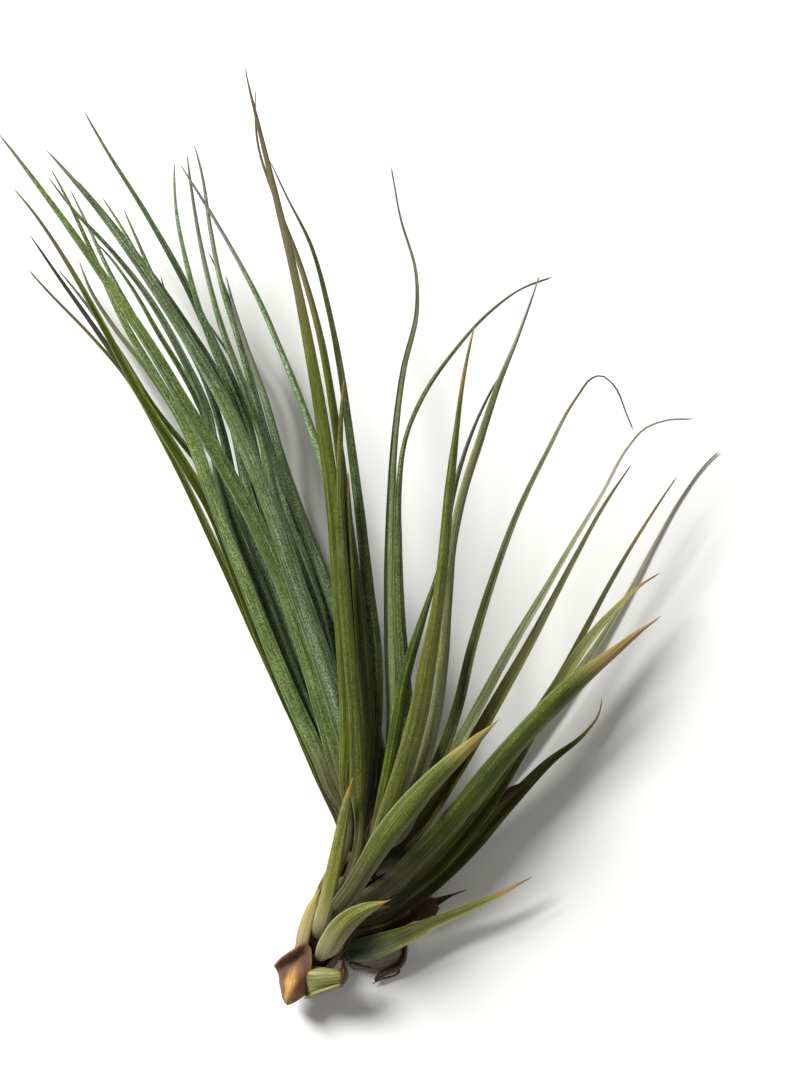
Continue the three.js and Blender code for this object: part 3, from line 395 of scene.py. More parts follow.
def narrowed(grid, widen=1.0):
    """Draws the blade in to a thread towards its tip, and makes its upper half wider if asked."""
    width = np.maximum(grid["width"], 0.01)
    scale = 1 - TIP_NARROWING * np.exp(-np.maximum(width - BARE_TIP_WIDTH, 0) / NARROWING_REACH)
    share = grid["at"] / grid["length"]
    end = 1 - WIDENING_LOST * ease(WIDE_FROM, 1.0, share)
    scale = scale * (1 + (widen - 1) * ease(WIDENS_FROM, WIDE_FROM, share) * end)
    if grid["pointed"]:
        to_tip = (grid["length"] - grid["at"]) / POINT_LENGTH
        scale = scale * np.clip(to_tip, 0, 1) ** 0.5
    keel = grid["surface"][:, len(grid["across"]) // 2][:, None]
    grid["surface"] = keel + (grid["surface"] - keel) * scale[:, None, None]
    grid["width"] = width * scale
    return grid


def grid_piece(name, grid, values):
    """A sheet of quads over a grid, facing outwards, that carries the values given for each place."""
    surface = grid["surface"]
    rows, columns = surface.shape[:2]
    corner = np.arange(rows * columns).reshape(rows, columns)
    quads = np.stack([corner[:-1, :-1], corner[:-1, 1:], corner[1:, 1:], corner[1:, :-1]], -1).reshape(-1, 4)
    along = surface[rows // 2 + 1, columns // 2] - surface[rows // 2, columns // 2]
    side = surface[rows // 2, -1] - surface[rows // 2, 0]
    if np.dot(np.cross(side, along), grid["outward"][rows // 2]) < 0:
        quads = quads[:, ::-1]
    mesh = bpy.data.meshes.new(name)
    mesh.from_pydata(surface.reshape(-1, 3).tolist(), [], quads.tolist())
    for label, value in values.items():
        flat = np.broadcast_to(value, (rows, columns) + np.shape(value)[2:]).astype(np.float32)
        kind = "FLOAT_VECTOR" if flat.ndim == 3 else "FLOAT"
        key = "vector" if flat.ndim == 3 else "value"
        mesh.attributes.new(label, kind, "POINT").data.foreach_set(key, flat.ravel())
    piece = bpy.data.objects.new(name, mesh)
    bpy.context.scene.collection.objects.link(piece)
    return piece


def blade_values(grid, seed, tone, tip_from, sheath_to):
    """What a blade's finish needs to know at each place on it."""
    u = grid["across"][None, :]
    at = grid["at"][:, None]
    share = at / grid["length"]
    place = np.stack(np.broadcast_arrays(u * grid["width"][:, None] / 2, at, seed * 17.3), -1)
    body = ease(0, END_REACH, at)
    if grid["pointed"]:
        body = body * ease(0, END_REACH, grid["length"] - at)
    else:
        body = body * ease(0, END_REACH / 3, grid["length"] - at)
    return {"place": place, "across": u, "along": share, "body": body, "tone": np.array([[tone]]),
            "sheath": 1 - ease(sheath_to * 0.25, sheath_to, at),
            "tip": ease(tip_from, 1.0, share)}


# Gives a blade its two faces, thick at the keel and thin at the margins, with low ribs along it.
blade_tree, given, result = new_tree("leaf blade", {
    "Keel Thickness": "NodeSocketFloat", "Rib Height": "NodeSocketFloat", "Rib Pitch": "NodeSocketFloat",
    "Wave Height": "NodeSocketFloat", "Wave Length": "NodeSocketFloat", "Seed": "NodeSocketFloat",
    "Material": "NodeSocketMaterial"})
place = add_node(blade_tree, "GeometryNodeInputNamedAttribute", {"Name": "place"},
                 data_type="FLOAT_VECTOR")[0]
across, body = (add_node(blade_tree, "GeometryNodeInputNamedAttribute", {"Name": label})[0]
                for label in ("across", "body"))
wave_run = add_node(blade_tree, "ShaderNodeVectorMath", {0: place, 1: WAVE_STRETCH}, operation="MULTIPLY")[0]
frequency = add_node(blade_tree, "ShaderNodeMath", {0: 1.0, 1: given["Wave Length"]}, operation="DIVIDE")[0]
waves = add_node(blade_tree, "ShaderNodeTexNoise", {
    "Vector": wave_run, "W": given["Seed"], "Scale": frequency, "Detail": 1.0}, noise_dimensions="4D")["Fac"]
known = {"across": across, "body": body, "waves": waves,
         "x": add_node(blade_tree, "ShaderNodeSeparateXYZ", {0: place})["X"]}
known.update((label, given[label]) for label in ("Keel Thickness", "Rib Height", "Rib Pitch", "Wave Height"))
for label, operation, first, second in [
        ("squared", "MULTIPLY", "across", "across"),
        ("left over", "SUBTRACT", 1.0, "squared"),
        ("lens", "POWER", "left over", 0.5),
        ("profile", "MULTIPLY", "lens", "body"),
        ("half keel", "MULTIPLY", "Keel Thickness", 0.5),
        ("wall", "MULTIPLY", "profile", "half keel"),
        ("turns", "DIVIDE", "x", "Rib Pitch"),
        ("angle", "MULTIPLY", "turns", 2 * math.pi),
        ("ripple", "COSINE", "angle", 0.0),
        ("rib", "MULTIPLY", "ripple", "Rib Height"),
        ("rib end", "MULTIPLY", "rib", "profile"),
        ("half", "ADD", "wall", "rib end"),
        ("centred", "SUBTRACT", "waves", 0.5),
        ("sway", "MULTIPLY", "centred", "Wave Height")]:
    known[label] = add_node(blade_tree, "ShaderNodeMath",
                            {0: known.get(first, first), 1: known.get(second, second)},
                            operation=operation, use_clamp=label == "left over")[0]
out = add_node(blade_tree, "GeometryNodeInputNormal")[0]
swayed = add_node(blade_tree, "ShaderNodeVectorMath", {0: out, "Scale": known["sway"]}, operation="SCALE")[0]
moved = add_node(blade_tree, "GeometryNodeSetPosition", {"Geometry": given["Geometry"], "Offset": swayed})[0]
faces = []
for outer_face in (1.0, -1.0):
    reach = add_node(blade_tree, "ShaderNodeMath", {0: known["half"], 1: outer_face},
                     operation="MULTIPLY")[0]
    shift = add_node(blade_tree, "ShaderNodeVectorMath", {0: out, "Scale": reach}, operation="SCALE")[0]
    skin = add_node(blade_tree, "GeometryNodeSetPosition", {"Geometry": moved, "Offset": shift})[0]
    faces.append(add_node(blade_tree, "GeometryNodeStoreNamedAttribute",
                          {"Geometry": skin, "Name": "outer", "Value": max(outer_face, 0.0)})[0])
turned = add_node(blade_tree, "GeometryNodeFlipFaces", {"Mesh": faces[1]})[0]
joined = add_node(blade_tree, "GeometryNodeJoinGeometry", {0: [faces[0], turned]})[0]
closed = add_node(blade_tree, "GeometryNodeMergeByDistance",
                  {"Geometry": joined, "Distance": FACE_WELD * MM})[0]
smooth = add_node(blade_tree, "GeometryNodeSetShadeSmooth", {"Geometry": closed})[0]
real = add_node(blade_tree, "GeometryNodeRealizeInstances", {0: smooth})[0]
dressed = add_node(blade_tree, "GeometryNodeSetMaterial", {0: real, "Material": given["Material"]})[0]
blade_tree.links.new(dressed, result[0])

# Patterns on a leaf in mm, across and along it. The real silver scales are finer than a render
# shows, so they are drawn as coarse as SCALE_WIDTH.
VEINS_ACROSS = 4.2
VEIN_RUN = 0.006
STREAK_WIDTH = 0.3
STREAK_LENGTH = 11.0
PATCH_WIDTH = 6.0
PATCH_LENGTH = 26.0
SCALE_WIDTH = 0.3
SCALE_LENGTH = 0.4
CLOUD_SIZE = 2.2
TIP_COAT = 0.6
# Where both margins get a pale painted highlight, and where the rolled leaf's margins get painted shade
# instead.
PAINTED_EDGE_HIGHLIGHT = (0.9, 1.0, 0.0, 0.6)
PAINTED_ROLLED_EDGE_SHADE = (0.42, 0.66, 0.0, 0.95)
SATURATION = 1.16
RELIEF = 0.08


def leaf_finish(name, lit, deep, warm, frost, frosting, tip, tip_end, sheath="68674a", shade="252212",
                painted_channel_tone=None, painted_rim_shade=None):
    """Living leaf tissue: green between dark veins, with silver scales that stand in rows."""
    finish, tree, shader = new_finish(name, 0.55, Specular_IOR_Level=0.3, Sheen_Weight=0.1 * frosting,
                                      Sheen_Roughness=0.5, Sheen_Tint=linear(frost))
    look = {}
    for label in ("place", "across", "outer", "tip", "sheath", "tone"):
        stored = add_node(tree, "ShaderNodeAttribute", attribute_name=label)
        look[label] = stored["Vector" if label == "place" else "Fac"]
    parts = add_node(tree, "ShaderNodeSeparateXYZ", {0: look["place"]})
    vein_x = add_node(tree, "ShaderNodeMath", {0: look["across"], 1: VEINS_ACROSS}, operation="MULTIPLY")[0]
    vein_y = add_node(tree, "ShaderNodeMath", {0: parts["Y"], 1: VEIN_RUN}, operation="MULTIPLY")[0]
    vein_at = add_node(tree, "ShaderNodeCombineXYZ", {0: vein_x, 1: vein_y, 2: parts["Z"]})[0]
    look["veins"] = add_node(tree, "ShaderNodeTexNoise", {"Vector": vein_at, "Scale": 1.0, "Detail": 2.0,
                                                          "Roughness": 0.6})[0]
    look["off keel"] = add_node(tree, "ShaderNodeMath", {0: look["across"]}, operation="ABSOLUTE")[0]
    for label, kind, width, length, grain in [
            ("streaks", "TexNoise", STREAK_WIDTH, STREAK_LENGTH, {"Detail": 2.0, "Roughness": 0.6}),
            ("patches", "TexNoise", PATCH_WIDTH, PATCH_LENGTH, {"Detail": 2.0}),
            ("scales", "TexVoronoi", SCALE_WIDTH, SCALE_LENGTH, {}),
            ("clouds", "TexNoise", CLOUD_SIZE, 3 * CLOUD_SIZE, {"Detail": 3.0, "Roughness": 0.7})]:
        run = add_node(tree, "ShaderNodeVectorMath", {0: look["place"], 1: (1 / width, 1 / length, 1.0)},
                       operation="MULTIPLY")[0]
        look[label] = add_node(tree, "ShaderNode" + kind, {"Vector": run, "Scale": 1.0, **grain})[0]

    # Each row reads one value between two limits, and gives what it comes to at each of them.
    for label, source, low, high, first, last in [
            ("bands", "veins", 0.32, 0.68, 0.15, 1.0),
            ("fine", "streaks", 0.28, 0.72, 0.0, 1.0),
            ("warmth", "patches", 0.45, 0.75, 0.0, 0.6),
            ("dots", "scales", 0.15, 0.8, 1.0, 0.0),
            # keel and face pick out the inner face along the keel, where the hollow of the channel gets
            # painted shade.
            ("keel", "off keel", 0.0, 0.6, 1.0, 0.0),
            ("face", "outer", 0.0, 1.0, 0.8, 0.15),
            ("dry", "tip", 0.0, 0.5, 0.0, 1.0),
            ("coat in clouds", "clouds", 0.3, 0.7, 0.5, 1.0),
            ("coat on bands", "bands", 0.0, 1.0, 0.25, 1.0),
            ("coat on streaks", "fine", 0.0, 1.0, 0.5, 1.0),
            ("coat in dots", "dots", 0.0, 1.0, 0.2 * frosting, 1.3 * frosting),
            ("coat on the tip", "dry", 0.0, 1.0, 1.0, TIP_COAT),
            # rim: a pale line of painted highlight along both margins. On the rolled leaf it is painted
            # shade over the rolled margins.
            ("rim", "off keel", *(PAINTED_ROLLED_EDGE_SHADE if painted_rim_shade else PAINTED_EDGE_HIGHLIGHT)),
            ("rim on the tip", "dry", 0.0, 1.0, 1.0, 0.3),
            ("hue", "tone", -1.0, 1.0, 0.496, 0.504),
            ("value", "tone", -1.0, 1.0, 0.76, 1.14),
            ("roughness", "dots", 0.0, 1.0, 0.4, 0.68)]:
        look[label] = add_node(tree, "ShaderNodeMapRange",
                               {0: look[source], 1: low, 2: high, 3: first, 4: last},
                               interpolation_type="SMOOTHSTEP")[0]
    # Painted shade in the hollow of the channel: the inner face along the keel turns to the deep colour. On
    # the rolled leaf it is painted pale instead, as a highlight.
    painted_channel_shade_and_light = add_node(tree, "ShaderNodeMath", {0: look["keel"], 1: look["face"]}, operation="MULTIPLY")[0]
    coat = look["coat in clouds"]
    shares = [look["coat " + where] for where in ("on bands", "on streaks", "in dots", "on the tip")]
    # The channel keeps few scales, so its painted shade stays dark.
    if not painted_channel_tone:
        shares.append(add_node(tree, "ShaderNodeMapRange", {0: painted_channel_shade_and_light, 3: 1.0, 4: 0.35},
                               interpolation_type="SMOOTHSTEP")[0])
    for share in shares:
        coat = add_node(tree, "ShaderNodeMath", {0: coat, 1: share}, operation="MULTIPLY")[0]
    # The painted highlight on the rim, weaker on the dried tip.
    rim = add_node(tree, "ShaderNodeMath", {0: look["rim"], 1: look["rim on the tip"]},
                   operation="MULTIPLY")[0]
    dry_streaks = add_node(tree, "ShaderNodeMath", {0: look["fine"], 1: 0.3}, operation="MULTIPLY")[0]
    green = add_node(tree, "ShaderNodeMix", {0: 0.45, 2: look["bands"], 3: look["fine"]})[0]
    tips = add_node(tree, "ShaderNodeMix", {0: look["tip"], 6: linear(tip), 7: linear(tip_end)},
                    data_type="RGBA")[2]
    dried = add_node(tree, "ShaderNodeMix", {0: dry_streaks, 6: tips, 7: linear(deep)}, data_type="RGBA")[2]
    sheathed = add_node(tree, "ShaderNodeMix", {0: green, 6: linear(shade), 7: linear(sheath)},
                        data_type="RGBA")[2]

    # The colours lie over each other in this order, from the deepest tissue outwards.
    colour = linear(deep)
    # Among these layers, the channel's is painted shade and the rim's is a painted highlight. On the rolled
    # leaf the channel is a painted highlight and the rim is painted shade.
    for share, over in [(green, linear(lit)), (look["warmth"], linear(warm)),
                        (painted_channel_shade_and_light, linear(painted_channel_tone or deep)), (look["dry"], dried), (coat, linear(frost)),
                        (rim, linear(painted_rim_shade or frost)), (look["sheath"], sheathed)]:
        colour = add_node(tree, "ShaderNodeMix", {0: share, 6: colour, 7: over}, data_type="RGBA")[2]
    toned = add_node(tree, "ShaderNodeHueSaturation", {
        "Hue": look["hue"], "Value": look["value"], "Saturation": SATURATION, "Color": colour})[0]
    tree.links.new(toned, shader.inputs["Base Color"])
    tree.links.new(look["roughness"], shader.inputs["Roughness"])
    raised = add_node(tree, "ShaderNodeMath", {0: look["dots"], 1: 0.4}, operation="MULTIPLY")[0]
    height = add_node(tree, "ShaderNodeMath", {0: look["fine"], 1: raised}, operation="ADD")[0]
    relief = add_node(tree, "ShaderNodeBump",
                      {"Strength": 0.8, "Distance": RELIEF * MM, "Height": height})[0]
    tree.links.new(relief, shader.inputs["Normal"])
    return finish


def blade_piece(name, grid, values, finish, nodes, seed, thick, rib, wave, wave_length):
    """Builds a finished blade or skin over a grid, with its sizes in mm."""
    piece = grid_piece(name, grid, values)
    set_inputs(piece, blade_tree, {
        "Keel Thickness": thick * MM, "Rib Height": rib * MM, "Rib Pitch": RIB_PITCH,
        "Wave Height": wave * MM, "Wave Length": wave_length, "Seed": float(seed), "Material": finish})
    finish_piece(piece, nodes)


def leaf(node, finish, seed, tone, tip_from=0.86, sheath_to=34.0, thick=KEEL_THICKNESS,
         rib=RIB_HEIGHT, wave=WAVE_HEIGHT, tuck=TUCK_DEPTH, widen=1.0, free_neck=False):
    """Builds one leaf over its CAD node."""
    grid = tucked(narrowed(blade_grid(node), widen), tuck)
    if not free_neck:
        grid["surface"] = drawn_in(grid["surface"])
    grid = rooted(grid)
    values = blade_values(grid, seed, tone, tip_from, sheath_to)
    blade_piece(node + "_blade", grid, values, finish, [node], seed, thick, rib, wave, WAVE_LENGTH)


# Green tissue under a thick coat of silver scales, so it looks grey green and matt.
frosted_leaf = leaf_finish("frosted leaf with silver scales", lit="4d652f", deep="101c06", warm="5d6b2a",
                           frost="a8b699", frosting=0.95, tip="7a7868", tip_end="5a5350")
# The same leaf with fewer scales: the yellow green tissue shows through.
olive_leaf = leaf_finish("olive leaf with thin silver scales", lit="566316", deep="161e04", warm="646a1c",
                         frost="909a62", frosting=0.5, tip="736c4c", tip_end="5b5143")
# Old thin leaf ends with a dark skin.
dark_leaf = leaf_finish("dark leaf with thin silver scales", lit="3f4c20", deep="10170a", warm="4b5226",
                        frost="7d8770", frosting=0.45, tip="4f4945", tip_end="2c2628")
# Between the two: a thin even coat on green tissue.
coated_leaf = leaf_finish("green leaf with an even coat of scales", lit="4e5f24", deep="111b05",
                          warm="5a6526", frost="9caa80", frosting=0.8, tip="74705a", tip_end="544c48")
bundle = [
    (frosted_leaf, 0.92, [8, 9, 11, 12, 13, 14, 15, 16, 17, 18, 23]),
    (frosted_leaf, 0.72, [19, 20, 21, 22, 24]),
    (coated_leaf, 0.92, [6, 7, 10]),
    (coated_leaf, 0.74, [4, 5]),
    (olive_leaf, 0.78, [1, 3]),
    (dark_leaf, 0.6, [2]),
]
dice = np.random.default_rng(11)
for finish, tip_from, numbers in bundle:
    for number in numbers:
        leaf(f"leaf_bundle_{number:02d}", finish, number, dice.uniform(-1, 1), tip_from,
             sheath_to=26.0)


# The upright leaves in the middle are the same leathery blades, less frosted, and taper into long
# purple grey threads. They come from the growing point, over the bundle's bases.

# Rolled leaf seen from inside: a frosted band painted pale as a highlight, between margins painted dark
# green as shade on the rolled edges.
banded_leaf = leaf_finish("rolled leaf with a frosted band", lit="6f7d48", deep="3a4a1c", warm="79814b",
                          frost="afb792", frosting=0.8, tip="75776a", tip_end="4f4a4a",
                          painted_channel_tone="c2c8a0", painted_rim_shade="18220a")
# Deep green leaf with few scales and a paler margin.
green_leaf = leaf_finish("deep green leaf", lit="485b16", deep="142004", warm="58641d", frost="8e9a5c",
                         frosting=0.55, tip="8f7a45", tip_end="7b5434")
# Older olive tissue that has begun to brown.
browned_leaf = leaf_finish("olive leaf that has begun to brown", lit="414c16", deep="141904", warm="4f501c",
                           frost="858752", frosting=0.55, tip="8a7644", tip_end="6b4a30")
# Deep green blade whose upper part has dried straw and tan.
drying_leaf = leaf_finish("deep green leaf drying to tan", lit="4c5f18", deep="192406", warm="6b7024",
                          frost="949a5c", frosting=0.6, tip="a59c60", tip_end="b48d6e")
# Olive tissue whose end has dried to straw.
straw_leaf = leaf_finish("olive leaf with a straw tip", lit="586322", deep="1c2208", warm="6a6a2a",
                         frost="989b66", frosting=0.6, tip="8a8146", tip_end="8c7350")
# Thin pale blade: a thick coat of scales on tissue that has lost its green.
pale_leaf = leaf_finish("pale thin leaf with silver scales", lit="7d8552", deep="444c24", warm="898858",
                        frost="b9bc9d", frosting=0.72, tip="aea699", tip_end="6f6665")
middle = [
    (olive_leaf, 0.56, [1, 2]),
    (coated_leaf, 0.8, [3]),
    (browned_leaf, 0.92, [4, 5]),
    (banded_leaf, 0.78, [6]),
    (coated_leaf, 0.74, [7]),
    (straw_leaf, 0.84, [8]),
    (pale_leaf, 0.78, [9]),
    (dark_leaf, 0.72, [10]),
    (green_leaf, 0.93, [11]),
]
for finish, tip_from, numbers in middle:
    for number in numbers:
        leaf(f"leaf_middle_{number:02d}", finish, 40 + number, dice.uniform(-1, 0.3),
             tip_from, widen=2.4 if number == 8 else 1.0)


# The spreading leaves on the right are older. Some end in grey threads, and the lower ones have
# tips that dried tan.

# Yellow green blade that has dried tan at its end, out of a dark blue green sheath.
faded_leaf = leaf_finish("fading leaf with a dark sheath", lit="868b40", deep="4a5020", warm="928e4a",
                         frost="b0af84", frosting=0.65, tip="a59260", tip_end="99705a", sheath="57604a",
                         shade="1d2218")
# Olive blade that ends in a dark curled thread.
curling_leaf = leaf_finish("olive leaf with a curled thread", lit="445218", deep="131c05", warm="525920",
                           frost="8f986a", frosting=0.75, tip="8f7f58", tip_end="3d3438")
# Deep olive tissue with hardly any scales, and a brown point.
deep_olive_leaf = leaf_finish("deep olive leaf", lit="62640a", deep="2a2c02", warm="6e6c12", frost="8a8a3c",
                              frosting=0.12, tip="7d6a38", tip_end="5a3f2a")
right = [
    (curling_leaf, 0.66, "right_leaf", [1]),
    (pale_leaf, 0.6, "right_leaf", [2]),
    (deep_olive_leaf, 0.93, "right_leaf", [3]),
    (olive_leaf, 0.9, "right_leaf", [12]),
    (straw_leaf, 0.76, "right_leaf", [4]),
    (pale_leaf, 0.66, "right_leaf", [5]),
    (faded_leaf, 0.86, "right_leaf", [6]),
    (drying_leaf, 0.68, "right_leaf", [7]),
    (straw_leaf, 0.8, "right_leaf", [8]),
    (straw_leaf, 0.68, "yellowing_leaf", [9]),
    (faded_leaf, 0.7, "yellowing_leaf", [10]),
]
broad_ends = {6: 1.35, 7: 1.7}
for finish, tip_from, slot, numbers in right:
    for number in numbers:
        leaf(f"leaf_right_{number:02d}", finish, 60 + number, dice.uniform(-1, 1), tip_from,
             sheath_to=22.0 if finish is faded_leaf else 34.0, widen=broad_ends.get(number, 1.0))


# The short leaves over the neck are young bract-like ones: yellow green, ribbed, with a hard
# orange point. The left one is the palest, and half dry.

# Young tissue: yellow green under a fair coat of scales, on a pale sheath.
bract_tissue = leaf_finish("yellow green bract with an orange point", lit="6d7430", deep="2f350e",
                           warm="7d7a34", frost="a3a272", frosting=0.75, tip="9d7f40", tip_end="8a5a36",
                           sheath="a9a27f", shade="6a6242")
# The same tissue half dried: straw yellow, with few scales.
pale_bract = leaf_finish("pale half dry bract", lit="a19a55", deep="6b642c", warm="b0a060", frost="bcb48c",
                         frosting=0.4, tip="9d773d", tip_end="6b4a2c", sheath="b5ac88", shade="7d7350")
for number, (node, tissue) in enumerate([("bract_left", pale_bract), ("bract_upright", bract_tissue),
                                         ("bract_lower", bract_tissue)]):
    leaf(node, tissue, 80 + number, 0.0, tip_from=0.84, sheath_to=20.0, rib=0.06,
         tuck=7.5 if node == "bract_left" else 5.5, free_neck=True)


# Dried leaves show on the right below the fan: thin, dark brown, fibrous blades that have shrunk
# and curled, and a grey skin under the lowest sheath.
# Dead leaf tissue: dark brown with black furrows, and dull, as nearly all its scales are gone.
dry_leaf_skin = leaf_finish("dried leaf gone dark brown", lit="5b3f2a", deep="170f0b", warm="6b472b",
                            frost="85705a", frosting=0.25, tip="4f3423", tip_end="241812", sheath="4a3524",
                            shade="1a120d")
for number, node in enumerate(["dry_leaf_right", "dry_sliver"]):
    leaf(node, dry_leaf_skin, 90 + number, 0.0, sheath_to=8.0, wave=0.8)
for number, node in enumerate(["dry_scale_back_1", "dry_scale_back_2"]):
    leaf(node, dry_leaf_skin, 95 + number, 0.0, sheath_to=8.0, wave=0.4, tuck=0)


# The foot carries a brown scale with an orange ridge, the pale stub of a leaf that was cut off with
# the wall of its sheath below it, and under the lowest sheath a dry skin with a dark curled edge.
PIXELS_PER_MM = 4.0
ORIGIN = (362.0, 533.6)
NET_ROWS = 34
NET_COLUMNS = 23
SKIN_WAVE = 4.0


def spot(px, py, height):
    """A place in metres from a place in the photo's frame and a height in mm."""
    return ((px - ORIGIN[0]) / PIXELS_PER_MM * MM, (ORIGIN[1] - py) / PIXELS_PER_MM * MM, height * MM)


def net_grid(net, rows=NET_ROWS, columns=NET_COLUMNS):
    """A fine smooth grid through a few rows of places."""
    net = np.array([[spot(*place) for place in row] for row in net])
    along = np.linspace(0, len(net) - 1, rows)
    lines = smooth_curve(net, np.arange(float(len(net))), along)
    u = np.sin(np.linspace(-1, 1, columns) * math.pi / 2)
    side = (u + 1) / 2 * (net.shape[1] - 1)
    surface = smooth_curve(lines.transpose(1, 0, 2), np.arange(float(net.shape[1])), side).transpose(1, 0, 2)
    steps = np.linalg.norm(np.diff(surface[:, columns // 2], axis=0), axis=1)
    at = np.concatenate([[0], np.cumsum(steps)]) / MM
    width = np.linalg.norm(surface[:, -1] - surface[:, 0], axis=1) / MM
    return {"surface": surface, "across": u, "at": at, "length": at[-1], "width": width,
            "outward": np.broadcast_to((0.0, 0.0, 1.0), (rows, 3)), "pointed": False}


def skin_piece(name, net, finish, nodes, seed, thick=0.5, rib=0.03, wave=0.3, tone=0.0, tip_from=0.9):
    """A thin skin over a net of places, with the same finish values as a blade."""
    grid = net_grid(net)
    values = blade_values(grid, seed, tone, tip_from, sheath_to=0.1)
    blade_piece(name, grid, values, finish, nodes, seed, thick, rib, wave, SKIN_WAVE)


# Woody brown scale: brown sides, a waxy orange ridge to its point, and above a mauve brown hollow, painted
# darker than the sides as shade in the hollow.
SHADED_SCALE_HOLLOW = "664636"
SCALE_SIDE = "7a5230"
SCALE_RIDGE = "b88b47"
SCALE_RIM = "94683a"
scale_wood, tree, shader = new_finish("woody scale with an orange ridge", 0.78)
place, across, along = (add_node(tree, "ShaderNodeAttribute", attribute_name=label)[output]
                        for label, output in (("place", "Vector"), ("across", "Fac"), ("along", "Fac")))
grains = []
for run, detail in ((2.4, 0.3, 1.0), 5.0), ((0.5, 0.35, 1.0), 3.0):
    run_at = add_node(tree, "ShaderNodeVectorMath", {0: place, 1: run}, operation="MULTIPLY")[0]
    grains.append(add_node(tree, "ShaderNodeTexNoise",
                           {"Vector": run_at, "Scale": 1.0, "Detail": detail})[0])
fibre, blotch = grains
off_middle = add_node(tree, "ShaderNodeMath", {0: across}, operation="ABSOLUTE")[0]
off_ridge = add_node(tree, "ShaderNodeMath", {0: across, 1: 0.05}, operation="ADD")[0]
off_ridge = add_node(tree, "ShaderNodeMath", {0: off_ridge}, operation="ABSOLUTE")[0]
lower, rim, upper, ridge, mottle, lined = (
    add_node(tree, "ShaderNodeMapRange", {0: source, 1: low, 2: high, 3: first, 4: last},
             interpolation_type=way)[0]
    for source, low, high, first, last, way in [
        (along, 0.3, 0.55, 0.0, 1.0, "SMOOTHSTEP"),
        (off_middle, 0.75, 0.98, 0.0, 0.7, "LINEAR"),
        (along, 0.0, 0.12, 0.8, 0.0, "LINEAR"),
        (off_ridge, 0.12, 0.5, 1.0, 0.0, "SMOOTHSTEP"),
        (blotch, 0.35, 0.65, 0.7, 1.15, "LINEAR"),
        (fibre, 0.3, 0.7, 0.72, 1.12, "LINEAR")])
ridge = add_node(tree, "ShaderNodeMath", {0: ridge, 1: lower}, operation="MULTIPLY")[0]
# The hollow's mauve brown is painted darker than the sides, as shade in the hollow. The other tones lie over
# it.
wood = linear(SHADED_SCALE_HOLLOW)
for share, tone in (lower, SCALE_SIDE), (rim, SCALE_RIM), (upper, SCALE_RIM), (ridge, SCALE_RIDGE):
    wood = add_node(tree, "ShaderNodeMix", {0: share, 6: wood, 7: linear(tone)}, data_type="RGBA")[2]
worn = add_node(tree, "ShaderNodeMath", {0: mottle, 1: lined}, operation="MULTIPLY")[0]
wood = add_node(tree, "ShaderNodeHueSaturation", {"Value": worn, "Color": wood})[0]
tree.links.new(wood, shader.inputs["Base Color"])
relief = add_node(tree, "ShaderNodeBump", {"Strength": 0.7, "Distance": 0.15 * MM, "Height": fibre})[0]
tree.links.new(relief, shader.inputs["Normal"])

skin_piece("basal_scale_shell", [
    [(275, 965, 9.5), (283, 956, 12), (297, 946.5, 15.5), (306, 940.5, 17.8), (312.5, 946, 16.8)],
    [(278, 970, 8.5), (287, 963, 9.2), (297, 958, 10.5), (305, 953, 13.0), (313.5, 956, 15.8)],
    [(280, 976, 7.5), (287, 974, 9.3), (295, 971, 10.6), (303, 967, 12.6), (313, 968, 13.4)],
    [(281, 985, 6.5), (286, 985, 10), (293, 984, 13.6), (302, 986, 11.5), (310, 988, 7.5)],
    [(283.5, 997, 5.5), (286.5, 998, 9), (290, 997, 12), (297, 999, 9.5), (306, 995, 6)],
    [(287, 1003.5, 5), (288, 1004, 7), (288.5, 1004.5, 8.5), (290, 1004, 7), (292, 1003, 5)],
], scale_wood, ["basal_scale"], 101, thick=0.7, rib=0.02, wave=0.35)

# Pale grey green tissue of a leaf cut short, ribbed, with a brown dry cut.
cut_tissue = leaf_finish("cut leaf stub, pale and ribbed", lit="96955f", deep="4d4d29", warm="a29a68",
                         frost="b4b08a", frosting=0.45, tip="8d6a40", tip_end="4b2f1c")
skin_piece("cut_leaf_stub_strap", [
    [(307, 964, 10.6), (307, 972, 11.2), (307, 980, 10.2), (306.5, 988, 7.4), (305.5, 995, 5.0)],
    [(314, 965, 12.0), (315, 972.5, 13.3), (315.5, 979.5, 13.2), (315.5, 986.5, 11.8), (315.5, 992, 9.8)],
    [(333, 967.5, 13.2), (334, 972, 14.2), (334, 977, 14.3), (334, 981.5, 13.5), (333, 985.5, 12.0)],
    [(343, 967.5, 13.2), (345, 971, 14.0), (345.5, 976, 14.2), (344.5, 980, 13.6), (342, 983, 12.6)],
], cut_tissue, ["cut_leaf_stub"], 102, thick=0.6, rib=0.09, wave=0.2, tip_from=0.86)
skin_piece("cut_leaf_stub_wall", [
    [(305.5, 993, 5.2), (306, 995.5, 5.6), (306, 997.5, 4.8), (305.5, 999, 3.6)],
    [(316, 989.5, 10.4), (316.5, 992, 11.1), (317, 994, 10.4), (317, 995.5, 8.4)],
    [(331, 984.5, 12.3), (332, 986.5, 12.9), (333, 988.5, 12.2), (333, 990, 10)],
    [(342, 980.5, 12.8), (344, 982.5, 13.3), (345, 984.5, 12.4), (345, 986, 10.6)],
], cut_tissue, ["cut_leaf_stub"], 103, thick=0.6, rib=0.05, wave=0.2, tip_from=0.9)
skin_piece("torn_cut_edge", [
    [(341, 984, 12.0), (343, 983, 13.4), (346, 983, 13.2)],
    [(342, 977, 13.6), (345.5, 976, 14.9), (349, 978, 13.4)],
    [(342, 970, 13.8), (345.5, 969, 15.1), (349.5, 971, 13.8)],
    [(343, 964, 13.2), (345, 962, 14.2), (347, 964, 13.2)],
    [(345, 959, 12.4), (345.6, 958, 12.8), (346.2, 959, 12.4)],
], dry_leaf_skin, ["cut_leaf_stub"], 104, thick=0.45, rib=0.02, wave=0.5)

